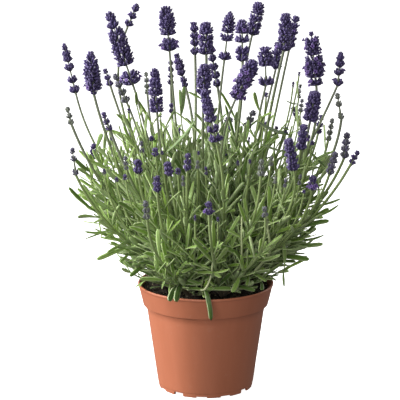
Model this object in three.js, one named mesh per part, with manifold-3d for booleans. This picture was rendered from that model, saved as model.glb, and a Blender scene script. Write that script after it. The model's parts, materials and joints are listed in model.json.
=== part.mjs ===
// A lavender plant in bloom in its plastic nursery pot. Millimetres, +Z up, the front towards -Y.
// The origin is on the pot's axis, in the plane that the pot stands on.
// The pot holds a bed of soil, seven woody branches stand in plain holes in the soil, and every
// branch carries square flower stems and leafy shoots. A flower spike sits on top of each stem.
import * as THREE from "three";
import { mergeVertices } from "three/addons/utils/BufferGeometryUtils.js";
import Module from "manifold-3d";

const wasm = await Module();
wasm.setup();

// ---------- driving dimensions ----------

const GAP = 0.3; // between two pieces that touch

const POT = {
  height: 95, rimRadius: 60, footRadius: 41.6, wall: 1.5, sides: 32,
  shoulderHeight: 71, shoulderRadius: 51.7, // where the collar steps out from the body
  collarHeight: 75.8, collarRadius: 55.1, collarTopRadius: 59, lipHeight: 2, // the collar and its lip
  floorHeight: 4, // underside of the floor above the ground
  drains: 4, drainHeight: 3.2, drainStart: -125, // tall notches in the foot ring, first one in degrees
  notches: 12, notchHeight: 1.3, notchWidth: 9.4, // all notches, the low ones between the tall ones
  holeRadius: 3.5, holeCircle: 27, // drain holes in the floor
};

const SOIL = { level: 87, lump: 1.3, fall: 1.5, rings: 2 }; // its outline has the pot's own sides

// The woody foot of a branch. Its stems leave it within `fork` of its top.
const TRUNK = { radius: 2.6, sides: 6, foot: 58, top: 99, fork: 8, holeRoom: 0.45 };

const STEM = {
  radius: 1.15, sides: 4, steps: 5, taper: 0.75, // radius to the corner of the square
  lowReach: 0.36, lowRise: 0.34, highPull: 0.36, // how the curve leaves the branch and arrives
};
const SHOOT = { radius: 0.95, steps: 3, lift: 70 }; // a leafy shoot's stem is thinner and shorter

// Leaves. Pairs of numbers are lowest and highest, or at the foot of the stem and at its leafy end.
const LEAF = {
  width: 4.2, thickness: 0.95, seat: 0.3, // seat: the root's distance from the stem's axis
  onStem: [42, 28], onShoot: [34, 26], size: [0.8, 1.15], // lengths, and the spread about them
  firstPair: 9, pairPitch: [8, 13], open: [20, 44], arch: [-12, 28], // mm, mm, degrees, degrees
  leafyShare: 0.7, leafyMost: 145, // how much of a flower stem has leaves
  kept: 6, // one leaf in this many is built
};

// Seven branches: where each stands in the soil. Six are on a ring and one is in the middle.
const BRANCH_RING = 28;
const BRANCHES = 6;
const MIDDLE_REACH = 38; // a spike nearer the axis than this grows from the middle branch

// Flower spikes. tip: the highest point. lean: degrees from upright, towards +X and towards +Y.
// dense: how many of the whorls are packed at the top, the others being spread below them.
const SPIKES = [
  { tip: [-129, 92, 294.5], lean: [-13, 4], length: 47.5, width: 10.4, whorls: 6, dense: 3 },
  { tip: [-98.5, -25, 305.5], lean: [-4, -4], length: 39, width: 15, whorls: 6, dense: 5 },
  { tip: [-85, 25, 333], lean: [-18, 4], length: 68.5, width: 17, whorls: 9, dense: 7 },
  { tip: [-60.5, 70, 333.5], lean: [24, 8], length: 21.5, width: 8, whorls: 4, dense: 2 },
  { tip: [-35.5, 45, 335], lean: [-5, 6], length: 40.5, width: 15.5, whorls: 6, dense: 4 },
  { tip: [-27, 92, 285], lean: [-16, 10], length: 32.5, width: 8.5, whorls: 5, dense: 2 },
  { tip: [-10.5, 85, 315], lean: [-2, 8], length: 28.5, width: 9.5, whorls: 5, dense: 3 },
  { tip: [0, 36, 322], lean: [-1, 4], length: 29, width: 13.5, whorls: 5, dense: 5 },
  { tip: [3, 60, 303.5], lean: [-10, 6], length: 43.5, width: 9, whorls: 6, dense: 2 },
  { tip: [-1, -20, 293.5], lean: [2, -4], length: 27, width: 13, whorls: 5, dense: 4 },
  { tip: [-2, -75, 281], lean: [-13, -10], length: 51, width: 12.5, whorls: 8, dense: 3 },
  { tip: [21.5, 20, 334], lean: [7, 2], length: 44.5, width: 12, whorls: 5, dense: 3 },
  { tip: [48, 55, 337], lean: [13, 6], length: 30.5, width: 12.5, whorls: 5, dense: 4 },
  { tip: [31, -5, 330], lean: [-1, 0], length: 37, width: 13, whorls: 5, dense: 3 },
  { tip: [41, -45, 302], lean: [24, -8], length: 39, width: 15, whorls: 6, dense: 5 },
  { tip: [68.5, -12, 336.5], lean: [3, 0], length: 33, width: 12.5, whorls: 5, dense: 4 },
  { tip: [80, 42, 326.5], lean: [12, 6], length: 28, width: 9, whorls: 5, dense: 3 },
  { tip: [50.5, -30, 310], lean: [-1, -4], length: 34, width: 13.5, whorls: 4, dense: 3 },
  { tip: [65.5, 76, 298], lean: [5, 8], length: 23.5, width: 10.5, whorls: 4, dense: 4 },
  { tip: [91.5, 15, 316.5], lean: [-6, 2], length: 50, width: 18, whorls: 7, dense: 5 },
  { tip: [93, -42, 274], lean: [9, -8], length: 27.5, width: 13.5, whorls: 5, dense: 5 },
  { tip: [120, 45, 294.5], lean: [5, 6], length: 30, width: 9.8, whorls: 5, dense: 2 },
  { tip: [-43.5, -50, 295.5], lean: [-3, -6], length: 40, width: 12, whorls: 6, dense: 3 },
  { tip: [68, -85, 241.5], lean: [-11, -12], length: 28, width: 11, whorls: 5, dense: 4 },
  { tip: [82.5, -62, 249.5], lean: [6, -8], length: 22, width: 9.5, whorls: 4, dense: 3 },
  { tip: [-90.5, 60, 276.5], lean: [-18, 8], length: 16.5, width: 7, whorls: 3, dense: 2 },
  { tip: [-81, 38, 275.5], lean: [-23, 4], length: 28, width: 8, whorls: 4, dense: 2 },
  { tip: [112, -28, 270], lean: [-10, -4], length: 24, width: 6.5, whorls: 3, dense: 2 },
  { tip: [-119.5, -20, 256.5], lean: [-13, -4], length: 16.5, width: 6.3, whorls: 3, dense: 2 },
  { tip: [121, -32, 236.5], lean: [5, -6], length: 23, width: 8, whorls: 4, dense: 2 },
  { tip: [130, -45, 223], lean: [28, 0], length: 13, width: 6.5, whorls: 3, dense: 2 },
  { tip: [110.5, -52, 223.5], lean: [15, -8], length: 20.5, width: 8, whorls: 4, dense: 3 },
  { tip: [112, 22, 238.5], lean: [11, 3], length: 21, width: 6.3, whorls: 4, dense: 2 },
  { tip: [105, 62, 234], lean: [12, 8], length: 18, width: 7, whorls: 3, dense: 2 },
  { tip: [79.5, 88, 236.5], lean: [-22, 12], length: 14, width: 7, whorls: 3, dense: 2 },
  { tip: [-114.5, -38, 224.5], lean: [-7, -6], length: 25.5, width: 6.5, whorls: 3, dense: 2 },
  { tip: [-99, 30, 214], lean: [8, 4], length: 18.5, width: 7.5, whorls: 4, dense: 4 },
  { tip: [-87, -52, 258], lean: [-19, -8], length: 18, width: 6.8, whorls: 3, dense: 3 },
  { tip: [-54.5, 96, 267.5], lean: [-4, 12], length: 21, width: 6, whorls: 4, dense: 3 },
  { tip: [-57.5, -76, 222], lean: [-4, -10], length: 11.5, width: 9, whorls: 2, dense: 2 },
  { tip: [-41, -96, 212.5], lean: [-2, -12], length: 14, width: 7.6, whorls: 3, dense: 3 },
  { tip: [-50, -110, 194.5], lean: [-4, -14], length: 17.5, width: 6.5, whorls: 3, dense: 2 },
  { tip: [-15, -82, 228.5], lean: [2, -10], length: 14.5, width: 7, whorls: 3, dense: 3 },
  { tip: [2, -115, 195], lean: [-2, -14], length: 11.5, width: 8.6, whorls: 2, dense: 2 },
  { tip: [-33, -62, 217], lean: [-10, -6], length: 11, width: 8, whorls: 3, dense: 3 },
  { tip: [43, 30, 244], lean: [24, 4], length: 17.5, width: 8, whorls: 3, dense: 2 },
  { tip: [46, -92, 225.5], lean: [2, -10], length: 14.5, width: 6.3, whorls: 3, dense: 3 },
  { tip: [48, -112, 190], lean: [-5, -14], length: 10, width: 6, whorls: 2, dense: 2 },
  { tip: [90, -78, 208.5], lean: [5, -12], length: 12, width: 9, whorls: 2, dense: 2 },
  { tip: [-32, 104, 277], lean: [-1, 10], length: 23, width: 6.5, whorls: 4, dense: 3 },
  { tip: [22, 112, 222.5], lean: [6, 14], length: 13, width: 10, whorls: 2, dense: 2 },
];

// Stems that bend just under their spike: the lean towards +X, in degrees, with which they arrive.
const ARRIVALS = { 2: -13, 16: 13, 18: 13, 19: 13, 22: 24, 28: 6, 29: -20, 30: 20, 36: -22 };

// A whorl's height, the rows of calyces for each whorl of the dense head, the stalk's radius in a
// large and in a small spike, and the rise and radius of a calyx's tip and of the valleys beside it.
const WHORL = {
  height: 6.6, rows: 1.3, stalk: [1.5, 1.2], tipRise: 0.95, valleyRise: 0.15, valleyRadius: 0.52,
};

// Leafy shoots without flowers, around the foot of the bush. tip: the end of the shoot's stem.
const SHOOTS = [
  { tip: [-2, -52, 102] },
  { tip: [-98, -14, 160] }, { tip: [-84, 22, 132] }, { tip: [-70, -34, 116] }, { tip: [-96, 40, 170] },
  { tip: [-44, -70, 124] }, { tip: [-20, -84, 150] }, { tip: [16, -62, 132] }, { tip: [46, -72, 138] },
  { tip: [72, -46, 122] }, { tip: [96, -16, 148] }, { tip: [88, 20, 126] }, { tip: [94, 44, 162] },
  { tip: [58, 70, 132] }, { tip: [20, 86, 142] }, { tip: [-22, 78, 124] }, { tip: [-60, 66, 146] },
];

// ---------- small helpers ----------

const V = (x, y, z) => new THREE.Vector3(x, y, z);
const UP = V(0, 0, 1);
const degrees = THREE.MathUtils.degToRad;
const between = ([from, to], share) => from + (to - from) * share;

// A seeded source of numbers between 0 and 1.
function draws(seed) {
  let state = seed * 7919 + 777;
  const next = () => (state = (state * 16807) % 2147483647) / 2147483647;
  next();
  return next;
}

// A unit vector that leans from upright by two angles, in degrees, towards +X and towards +Y.
function leaning([towardsX, towardsY]) {
  return V(Math.tan(degrees(towardsX)), Math.tan(degrees(towardsY)), 1).normalize();
}

// A closed manifold solid from a closed three.js geometry.
function solidOf(geometry) {
  const plain = geometry.index ? geometry.toNonIndexed() : geometry;
  const bare = new THREE.BufferGeometry();
  bare.setAttribute("position", plain.getAttribute("position"));
  const merged = mergeVertices(bare, 1e-4);
  return new wasm.Manifold(
    new wasm.Mesh({
      numProp: 3,
      vertProperties: new Float32Array(merged.attributes.position.array),
      triVerts: new Uint32Array(merged.index.array),
    }),
  );
}

function geometryOf(solid) {
  const mesh = solid.getMesh();
  const points = new Float32Array(mesh.numVert * 3);
  for (let i = 0; i < mesh.numVert; i++)
    points.set(mesh.vertProperties.subarray(i * mesh.numProp, i * mesh.numProp + 3), i * 3);
  const geometry = new THREE.BufferGeometry();
  geometry.setAttribute("position", new THREE.BufferAttribute(points, 3));
  geometry.setIndex(new THREE.BufferAttribute(new Uint32Array(mesh.triVerts), 1));
  geometry.computeVertexNormals();
  return geometry;
}

// A closed solid through rings of points. Every ring has the same number of points, running
// anticlockwise seen from the last ring, and the last ring may be one point, a tip. Each quad
// between two rings is folded along its shorter diagonal, so that raised points stand out.
function loft(rings) {
  const corners = [];
  const face = (a, b, c) => corners.push(a, b, c);
  const quad = (a, b, c, d) => {
    if (a.distanceTo(c) < b.distanceTo(d)) {
      face(a, b, c);
      face(a, c, d);
    } else {
      face(a, b, d);
      face(b, c, d);
    }
  };
  for (let k = 0; k + 1 < rings.length; k++) {
    const [low, high] = [rings[k], rings[k + 1]];
    low.forEach((point, i) => {
      const j = (i + 1) % low.length;
      if (high.length > 1) quad(point, low[j], high[j], high[i]);
      else face(point, low[j], high[0]);
    });
  }
  const [first, last] = [rings[0], rings[rings.length - 1]];
  for (let i = 1; i + 1 < first.length; i++) face(first[0], first[i + 1], first[i]);
  for (let i = 1; i + 1 < last.length; i++) face(last[0], last[i], last[i + 1]);
  const geometry = new THREE.BufferGeometry().setFromPoints(corners);
  return solidOf(geometry);
}

// Two unit vectors square to a direction, the second one a quarter turn on from the first.
function across(direction) {
  const a = V(0.31, 0.95, 0.05);
  a.addScaledVector(direction, -a.dot(direction)).normalize();
  return [a, direction.clone().cross(a)];
}

// A point beside an axis, at an angle round it.
function beside(centre, direction, radius, angle) {
  const [a, b] = across(direction);
  return centre.clone()
    .addScaledVector(a, radius * Math.cos(angle))
    .addScaledVector(b, radius * Math.sin(angle));
}

function ringAround(centre, direction, radius, sides) {
  const turn = (2 * Math.PI) / sides;
  return Array.from({ length: sides }, (_, i) => beside(centre, direction, radius, i * turn));
}

// A stem along a curve, thinner at the top.
function stemAlong(curve, radius, steps, sides) {
  const rings = [];
  for (let k = 0; k <= steps; k++) {
    const t = k / steps;
    const here = radius * between([1, STEM.taper], t);
    rings.push(ringAround(curve.getPoint(t), curve.getTangent(t), here, sides));
  }
  return loft(rings);
}

const join = (solids) => wasm.Manifold.union(solids);

// One body out of what fusing gives: a hollow that it sealed is filled, a loose scrap is dropped,
// and corners that lie closer than a hundredth of a millimetre are merged.
function oneBody(solid) {
  const larger = (one, other) => (other.volume() > one.volume() ? other : one);
  return solid.decompose().reduce(larger).simplify(0.01);
}

// ---------- pot ----------

// The pot's outline from the middle of its underside, up the outside, and back down the inside.
function potProfile() {
  const { height, wall, floorHeight, footRadius, collarHeight, collarRadius } = POT;
  const { shoulderHeight, shoulderRadius, collarTopRadius, lipHeight, rimRadius } = POT;
  const lean = (shoulderRadius - footRadius) / shoulderHeight;
  const bodyRadius = (z) => footRadius + lean * z;
  return [
    [0, floorHeight],
    [bodyRadius(0) - 2 * wall, floorHeight],
    [bodyRadius(0) - wall, 0],
    [bodyRadius(0), 0],
    [shoulderRadius, shoulderHeight],
    [collarRadius, collarHeight],
    [collarTopRadius, height - lipHeight],
    [rimRadius, height - lipHeight + 0.6],
    [rimRadius, height],
    [rimRadius - wall, height],
    [collarTopRadius - wall, height - lipHeight],
    [collarRadius - wall, collarHeight + 0.5],
    [shoulderRadius - wall, shoulderHeight + 0.5],
    [bodyRadius(floorHeight + wall) - wall, floorHeight + wall],
    [0, floorHeight + wall],
  ].map(([r, z]) => new THREE.Vector2(r, z));
}

// three.js turns a profile about Y: the part's axis is Z.
function turned(profile, sides) {
  return solidOf(new THREE.LatheGeometry(profile, sides).rotateX(Math.PI / 2));
}

function buildPot() {
  const { footRadius, notches, drains, drainHeight, notchHeight, notchWidth, drainStart } = POT;
  const cuts = [];
  for (let i = 0; i < notches; i++) {
    const isDrain = i % (notches / drains) === 0;
    const depth = isDrain ? drainHeight : notchHeight;
    const notch = new THREE.BoxGeometry(12, notchWidth, 2 * depth).translate(footRadius, 0, 0);
    cuts.push(solidOf(notch.rotateZ(degrees(drainStart) + (2 * Math.PI * i) / notches)));
    if (!isDrain) continue;
    const hole = new THREE.CylinderGeometry(POT.holeRadius, POT.holeRadius, 20, 8).rotateX(Math.PI / 2);
    hole.translate(POT.holeCircle, 0, 0).rotateZ(degrees(drainStart) + (2 * Math.PI * i) / notches);
    cuts.push(solidOf(hole));
  }
  return turned(potProfile(), POT.sides).subtract(join(cuts));
}

// ---------- soil ----------

// Height of the soil's surface: a low mound with clods.
function soilHeight(x, y) {
  const clods = Math.sin(0.31 * x + 1.7) * Math.cos(0.27 * y - 0.6);
  const waves = 0.6 * Math.sin(0.13 * x - 0.19 * y + 2.1);
  const fall = Math.hypot(x, y) / POT.rimRadius;
  return SOIL.level + SOIL.lump * (clods + waves) - SOIL.fall * fall * fall;
}

function potInside(z) {
  const { wall, footRadius, shoulderRadius, shoulderHeight, collarRadius, collarHeight } = POT;
  const lean = (shoulderRadius - footRadius) / shoulderHeight;
  const collarLean = (POT.collarTopRadius - collarRadius) / (POT.height - POT.lipHeight - collarHeight);
  if (z <= shoulderHeight) return footRadius + lean * z - wall;
  return collarRadius + collarLean * (z - collarHeight) - wall;
}

function buildSoil() {
  const { rings, level } = SOIL;
  const { sides, floorHeight, wall, shoulderHeight, collarHeight } = POT;
  const bottom = floorHeight + wall + GAP;
  const inside = (z) => potInside(z) - 1.2 * GAP;
  const circle = (radius, height) =>
    Array.from({ length: sides }, (_, i) => {
      const angle = (2 * Math.PI * i) / sides;
      const [x, y] = [radius * Math.cos(angle), radius * Math.sin(angle)];
      return V(x, y, typeof height === "function" ? height(x, y) : height);
    });
  const surface = [];
  for (let k = rings; k > 0; k--) surface.push(circle((inside(level - 3) * k) / rings, soilHeight));
  surface.push([V(0, 0, soilHeight(0, 0))]);
  const bed = loft([
    circle(inside(bottom), bottom),
    circle(inside(shoulderHeight), shoulderHeight + 0.5),
    circle(inside(collarHeight), collarHeight + 0.5),
    ...surface,
  ]);
  const holes = branchRoots().map((root) => {
    const depth = TRUNK.foot - GAP;
    const hole = ringAround(V(root.x, root.y, depth), UP, TRUNK.radius + TRUNK.holeRoom, TRUNK.sides);
    return loft([hole, hole.map((p) => p.clone().setZ(POT.height + 20))]);
  });
  return bed.subtract(join(holes));
}

// ---------- where things grow ----------

function branchRoots() {
  const roots = Array.from({ length: BRANCHES }, (_, i) => {
    const angle = (2 * Math.PI * i) / BRANCHES;
    return V(BRANCH_RING * Math.cos(angle), BRANCH_RING * Math.sin(angle), 0);
  });
  return [...roots, V(0, 0, 0)];
}

// The branch that a point above the pot belongs to: the ring's nearest, or the middle one.
function branchOf(x, y) {
  if (Math.hypot(x, y) < MIDDLE_REACH) return BRANCHES;
  const turn = Math.round((Math.atan2(y, x) * BRANCHES) / (2 * Math.PI));
  return (turn + BRANCHES) % BRANCHES;
}

// A stem's curve from its branch to a point that it reaches in a given direction. The stems that
// lean out the most leave the branch the lowest, so that they don't cross the others.
function stemCurve(root, end, direction) {
  const out = V(end.x - root.x, end.y - root.y, 0);
  const leaving = TRUNK.top - 1 - TRUNK.fork * Math.min(1, out.length() / (end.z - TRUNK.top));
  const start = V(root.x, root.y, leaving).addScaledVector(out.clone().normalize(), 0.5 * TRUNK.radius);
  const rise = end.z - start.z;
  const reach = V(end.x - start.x, end.y - start.y, 0);
  const length = end.distanceTo(start);
  const low = start.clone().addScaledVector(reach, STEM.lowReach).add(V(0, 0, STEM.lowRise * rise));
  const high = end.clone().addScaledVector(direction, -STEM.highPull * length);
  return new THREE.CubicBezierCurve3(start, low, high, end);
}

// Every stem: the flower stems under the spikes, then the leafy shoots.
function allStems() {
  const roots = branchRoots();
  const flowering = SPIKES.map((spike, i) => {
    const direction = leaning(spike.lean);
    const base = V(...spike.tip).addScaledVector(direction, -spike.length);
    const branch = branchOf(base.x, base.y);
    const end = base.clone().addScaledVector(direction, -GAP);
    const arrival = leaning([ARRIVALS[i + 1] ?? spike.lean[0], spike.lean[1]]);
    const curve = stemCurve(roots[branch], end, arrival);
    return { branch, seed: i + 1, curve, spike, base, direction };
  });
  const leafy = SHOOTS.map(({ tip }, i) => {
    const end = V(...tip);
    const branch = branchOf(end.x, end.y);
    const direction = V(end.x, end.y, SHOOT.lift).normalize();
    return { branch, seed: 101 + i, curve: stemCurve(roots[branch], end, direction) };
  });
  return [...flowering, ...leafy];
}

// The leaves of a stem, in pairs that turn a quarter from one to the next. They are long at the
// foot of the stem and shorter where the bare flower stalk begins.
function leavesOf(stem) {
  const draw = draws(stem.seed);
  const length = stem.curve.getLength();
  const leafyLength = stem.spike ? Math.min(LEAF.leafyShare * length, LEAF.leafyMost) : length;
  const leaves = [];
  let quarter = 0;
  for (let s = LEAF.firstPair; s < leafyLength; s += between(LEAF.pairPitch, draw())) {
    const axis = stem.curve.getPoint(s / length);
    const along = stem.curve.getTangent(s / length);
    for (const side of [0, Math.PI]) {
      const point = beside(axis, along, LEAF.seat, side + quarter + 0.5 * (draw() - 0.5));
      const out = point.clone().sub(axis).normalize();
      const open = degrees(between(LEAF.open, draw()));
      const direction = along.clone().multiplyScalar(Math.cos(open));
      direction.addScaledVector(out, Math.sin(open));
      const normal = along.clone().addScaledVector(direction, -along.dot(direction)).normalize();
      const usual = between(stem.spike ? LEAF.onStem : LEAF.onShoot, s / leafyLength);
      const size = usual * between(LEAF.size, draw());
      const arch = degrees(between(LEAF.arch, draw()));
      leaves.push({ point, direction, normal, length: size, arch });
    }
    quarter += Math.PI / 2;
  }
  if (!stem.spike) leaves.slice(-2).forEach((leaf) => (leaf.isLast = true));
  return leaves;
}

// ---------- plant ----------

// A leaf that hangs out over the rim of the pot at the front, from the tip of the first shoot.
const RIM_LEAF = [[-2, -52, 102], [-0.5, -59, 104], [1.5, -65, 99], [3.5, -67, 89], [4.5, -66, 78]];

// A narrow blade with a keel below and a flat top, arched away from the stem. With room, a copy
// that is fatter by that much all round, from clear of the stem to past the tip.
function leafSolid({ point, direction, normal, length, arch }, room = 0) {
  const side = direction.clone().cross(normal);
  const stations = [[room ? 0.12 : 0, 0.2], [0.58, 1]];
  const place = (t) => {
    const bend = arch * t;
    return point.clone()
      .addScaledVector(direction, length * t * Math.cos(bend / 2))
      .addScaledVector(normal, -length * t * Math.sin(bend / 2));
  };
  const rings = stations.map(([t, share]) => {
    const half = (LEAF.width / 2) * share + 2 * room;
    const down = normal.clone().multiplyScalar(Math.cos(arch * t));
    down.addScaledVector(direction, Math.sin(arch * t));
    const centre = place(t);
    const top = centre.clone().addScaledVector(down, 2 * room);
    return [
      top.clone().addScaledVector(side, half),
      centre.clone().addScaledVector(down, -LEAF.thickness * Math.min(1, 0.4 + t * 3) - 2 * room),
      top.clone().addScaledVector(side, -half),
    ];
  });
  return loft([...rings, [place(1 + (3 * room) / length)]]);
}

// A spike: one closed surface around the stalk. Pointed calyces are raised from it in rows that
// are packed in the head and stand apart below it.
function spikeSolid({ base, direction, spike }) {
  const { length, width, whorls, dense } = spike;
  const points = width > 15 ? 10 : width > 10 ? 8 : 6;
  const stalk = width > 10 ? WHORL.stalk[0] : WHORL.stalk[1];
  const pitch = Math.min(WHORL.height, length / whorls);
  const head = pitch * dense;
  const ringOf = (place) =>
    Array.from({ length: points }, (_, i) => {
      const [height, radius] = place(i);
      const centre = base.clone().addScaledVector(direction, height);
      return beside(centre, direction, radius, (2 * Math.PI * i) / points);
    });
  const ring = (height, radius) => ringOf(() => [height, radius]);
  const star = (height, radius, rise, turn) =>
    ringOf((i) =>
      (i + turn) % 2
        ? [height + WHORL.tipRise * rise, radius]
        : [height + WHORL.valleyRise * rise, WHORL.valleyRadius * radius],
    );
  const rings = [];
  const loose = whorls - dense;
  for (let k = 0; k < loose; k++) {
    const height = (k * (length - head)) / loose;
    rings.push(ring(height, stalk), star(height, width / 2, pitch, k), ring(height + 0.8 * pitch, stalk));
  }
  rings.push(ring(length - head, stalk));
  const rows = Math.max(2, Math.round(dense * WHORL.rows));
  const rise = head / (rows + 0.6);
  for (let k = 0; k < rows; k++) {
    const radius = (width / 2) * Math.min(1, 0.55 + 0.25 * (rows - 1 - k));
    rings.push(star(length - head + k * rise, radius, rise, k));
  }
  rings.push([base.clone().addScaledVector(direction, length)]);
  return loft(rings);
}

// The leaf over the rim: its keel is on the side of the pot.
function rimLeafSolid() {
  const curve = new THREE.CatmullRomCurve3(RIM_LEAF.map((point) => V(...point)));
  const shares = [0.25, 0.7, 1, 0.9];
  const rings = shares.map((share, k) => {
    const t = k / shares.length;
    const along = curve.getTangent(t);
    const side = V(1, 0, 0).cross(along).cross(along).negate().normalize();
    const down = side.clone().cross(along);
    const centre = curve.getPoint(t);
    return [
      centre.clone().addScaledVector(side, (LEAF.width / 2) * share),
      centre.clone().addScaledVector(down, LEAF.thickness),
      centre.clone().addScaledVector(side, (-LEAF.width / 2) * share),
    ];
  });
  return loft([...rings, [curve.getPoint(1)]]);
}

function buildPlant(obstacles) {
  const stems = allStems();
  const roots = branchRoots();
  const spikes = stems.filter((stem) => stem.spike).map((stem) => spikeSolid(stem));
  const woods = roots.map((root, i) => {
    const own = stems.filter((stem) => stem.branch === i);
    const trunk = new THREE.LineCurve3(V(root.x, root.y, TRUNK.foot), V(root.x, root.y, TRUNK.top));
    return [
      stemAlong(trunk, TRUNK.radius, 1, TRUNK.sides),
      ...own.map((stem) => {
        const { radius, steps } = stem.spike ? STEM : SHOOT;
        return stemAlong(stem.curve, radius, steps, STEM.sides);
      }),
    ];
  });
  // A leaf is built where a fatter copy of it meets nothing that is there already.
  const rimLeaf = rimLeafSolid();
  woods[stems.find((stem) => !stem.spike).branch].push(rimLeaf);
  const boxed = (solid) => ({ solid, box: solid.boundingBox() });
  const taken = [...obstacles, ...spikes, ...woods.flat()].map(boxed);
  const apart = (one, other) => [0, 1, 2].some((k) => one.min[k] > other.max[k] || one.max[k] < other.min[k]);
  const isClear = (room) => {
    const around = room.boundingBox();
    return taken.every(({ solid, box }) => apart(around, box) || room.intersect(solid).isEmpty());
  };
  for (const stem of stems) {
    leavesOf(stem).forEach((leaf, i) => {
      const isKept = (i + stem.seed) % LEAF.kept === 0 || leaf.isLast;
      if (!isKept || !isClear(leafSolid(leaf, GAP))) return;
      const solid = leafSolid(leaf);
      woods[stem.branch].push(solid);
      taken.push(boxed(solid));
    });
  }
  return { spikes, branches: woods.map((solids) => oneBody(join(solids))) };
}

// ---------- materials and assembly ----------

const material = (color, roughness) => new THREE.MeshStandardMaterial({ color, roughness, metalness: 0 });
const terracottaPlastic = material("#b5694a", 0.45);
const peat = material("#1f1a14", 0.95);
const foliage = material("#6f8a4c", 0.6);
const calyxViolet = material("#3f3460", 0.7);

const two = (number) => String(number).padStart(2, "0");

const lavender = new THREE.Group();
function add(name, solid, look) {
  const mesh = new THREE.Mesh(geometryOf(solid), look);
  mesh.name = name;
  lavender.add(mesh);
}

const pot = buildPot();
const soil = buildSoil();
const plant = buildPlant([pot, soil]);
add("pot", pot, terracottaPlastic);
add("soil", soil, peat);
plant.branches.forEach((solid, i) => add("branch_" + (i + 1), solid, foliage));
plant.spikes.forEach((solid, i) => add("spike_" + two(i + 1), solid, calyxViolet));

export default lavender;
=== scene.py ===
import json
import math
import bpy
import bmesh
from mathutils import Matrix, Vector, noise

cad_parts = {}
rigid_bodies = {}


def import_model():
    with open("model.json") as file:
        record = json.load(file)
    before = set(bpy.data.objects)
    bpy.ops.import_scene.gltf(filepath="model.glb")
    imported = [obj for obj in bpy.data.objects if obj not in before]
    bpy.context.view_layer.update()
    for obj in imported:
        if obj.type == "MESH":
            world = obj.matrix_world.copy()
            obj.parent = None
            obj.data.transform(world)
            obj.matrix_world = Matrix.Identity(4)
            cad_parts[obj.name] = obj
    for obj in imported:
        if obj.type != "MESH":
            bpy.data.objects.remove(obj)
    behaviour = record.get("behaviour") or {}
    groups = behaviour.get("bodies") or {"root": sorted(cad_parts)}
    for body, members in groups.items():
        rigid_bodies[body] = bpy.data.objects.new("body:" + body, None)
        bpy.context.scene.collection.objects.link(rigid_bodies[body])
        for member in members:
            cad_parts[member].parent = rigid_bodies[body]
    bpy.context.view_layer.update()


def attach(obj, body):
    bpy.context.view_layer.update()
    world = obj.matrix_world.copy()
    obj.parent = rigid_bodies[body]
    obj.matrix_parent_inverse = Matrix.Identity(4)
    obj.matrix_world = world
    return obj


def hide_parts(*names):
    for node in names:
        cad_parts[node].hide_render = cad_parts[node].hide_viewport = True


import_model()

# A lavender in bloom in its nursery pot. Lengths are in millimetres until a mesh is written, in metres.
scene = bpy.context.scene
mm = 0.001
up = Vector((0, 0, 1))
gap = 0.3  # between a flower spike and the end of its stem


def linear(hexText):  # an sRGB hex colour as linear RGBA
    parts = [int(hexText[i:i + 2], 16) / 255 for i in (1, 3, 5)]
    return [c / 12.92 if c <= 0.04045 else ((c + 0.055) / 1.055) ** 2.4 for c in parts] + [1.0]


def between(pair, share):
    return pair[0] + (pair[1] - pair[0]) * share


def tableAt(table, z):  # a value from a table of heights and values
    for (lowZ, low), (highZ, high) in zip(table, table[1:]):
        if z <= highZ:
            break
    return between((low, high), max(0, min(1, (z - lowZ) / (highZ - lowZ))))


def draws(seed):  # a seeded source of numbers from 0 to 1
    state = seed * 7919 + 777

    def draw():
        nonlocal state
        state = state * 16807 % 2147483647
        return state / 2147483647

    draw()
    return draw


def addNode(tree, kind, settings=None, links=None):
    node = tree.nodes.new(kind)
    for name, value in (settings or {}).items():
        if isinstance(name, str) and hasattr(node, name):
            setattr(node, name, value)
        else:
            node.inputs[name].default_value = value
    for name, source in (links or {}).items():
        output = source if isinstance(source, bpy.types.NodeSocket) else source.outputs[0]
        tree.links.new(output, node.inputs[name])
    return node


def newPiece(name, points, edges, faces):  # points in millimetres
    mesh = bpy.data.meshes.new(name)
    mesh.from_pydata([Vector(p) * mm for p in points], edges, faces)
    if faces:
        mesh.shade_smooth()
    piece = bpy.data.objects.new(name, mesh)
    scene.collection.objects.link(piece)
    return piece


def takeMesh(piece, modifier):  # keeps what a modifier makes of a piece as its plain mesh
    piece.update_tag()
    mesh = bpy.data.meshes.new_from_object(piece.evaluated_get(bpy.context.evaluated_depsgraph_get()))
    piece.modifiers.remove(modifier)
    old, piece.data = piece.data, mesh
    bpy.data.meshes.remove(old)
    mesh.name = piece.name
    return mesh


def grow(piece, tree, values):  # runs a node tree on a piece
    modifier = piece.modifiers.new(tree.name, "NODES")
    modifier.node_group = tree
    sockets = {item.name: item.identifier for item in tree.interface.items_tree if item.in_out == "INPUT"}
    for label, value in values.items():
        modifier[sockets[label]] = value
    takeMesh(piece, modifier)


def mark(mesh, name, kind, values):  # stores a value with every point of a mesh
    data = mesh.attributes.new(name, kind, "POINT").data
    if kind == "FLOAT_VECTOR":
        data.foreach_set("vector", [c for value in values for c in value])
    else:
        data.foreach_set("value", values)


def keep(piece, nodes=()):  # hands a finished piece over to the frame
    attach(piece, "root")
    if nodes:
        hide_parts(*nodes)
    count = sum(len(face.vertices) - 2 for face in piece.data.polygons)
    print(f"{piece.name}: {count} triangles")


def numbered(rings):  # the points of some rings, and each ring as a list of point numbers
    points, numbers = [], []
    for ring in rings:
        numbers.append(list(range(len(points), len(points) + len(ring))))
        points += ring
    return points, numbers


def ringFaces(rings):  # faces through rings of point numbers; a ring of one point is a pole
    faces = []
    for low, high in zip(rings, rings[1:]):
        n = max(len(low), len(high))
        for i in range(n):
            j = (i + 1) % n
            if len(low) == 1:
                faces.append((low[0], high[j], high[i]))
            elif len(high) == 1:
                faces.append((low[i], low[j], high[0]))
            else:
                faces.append((low[i], low[j], high[j], high[i]))
    return faces


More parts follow.
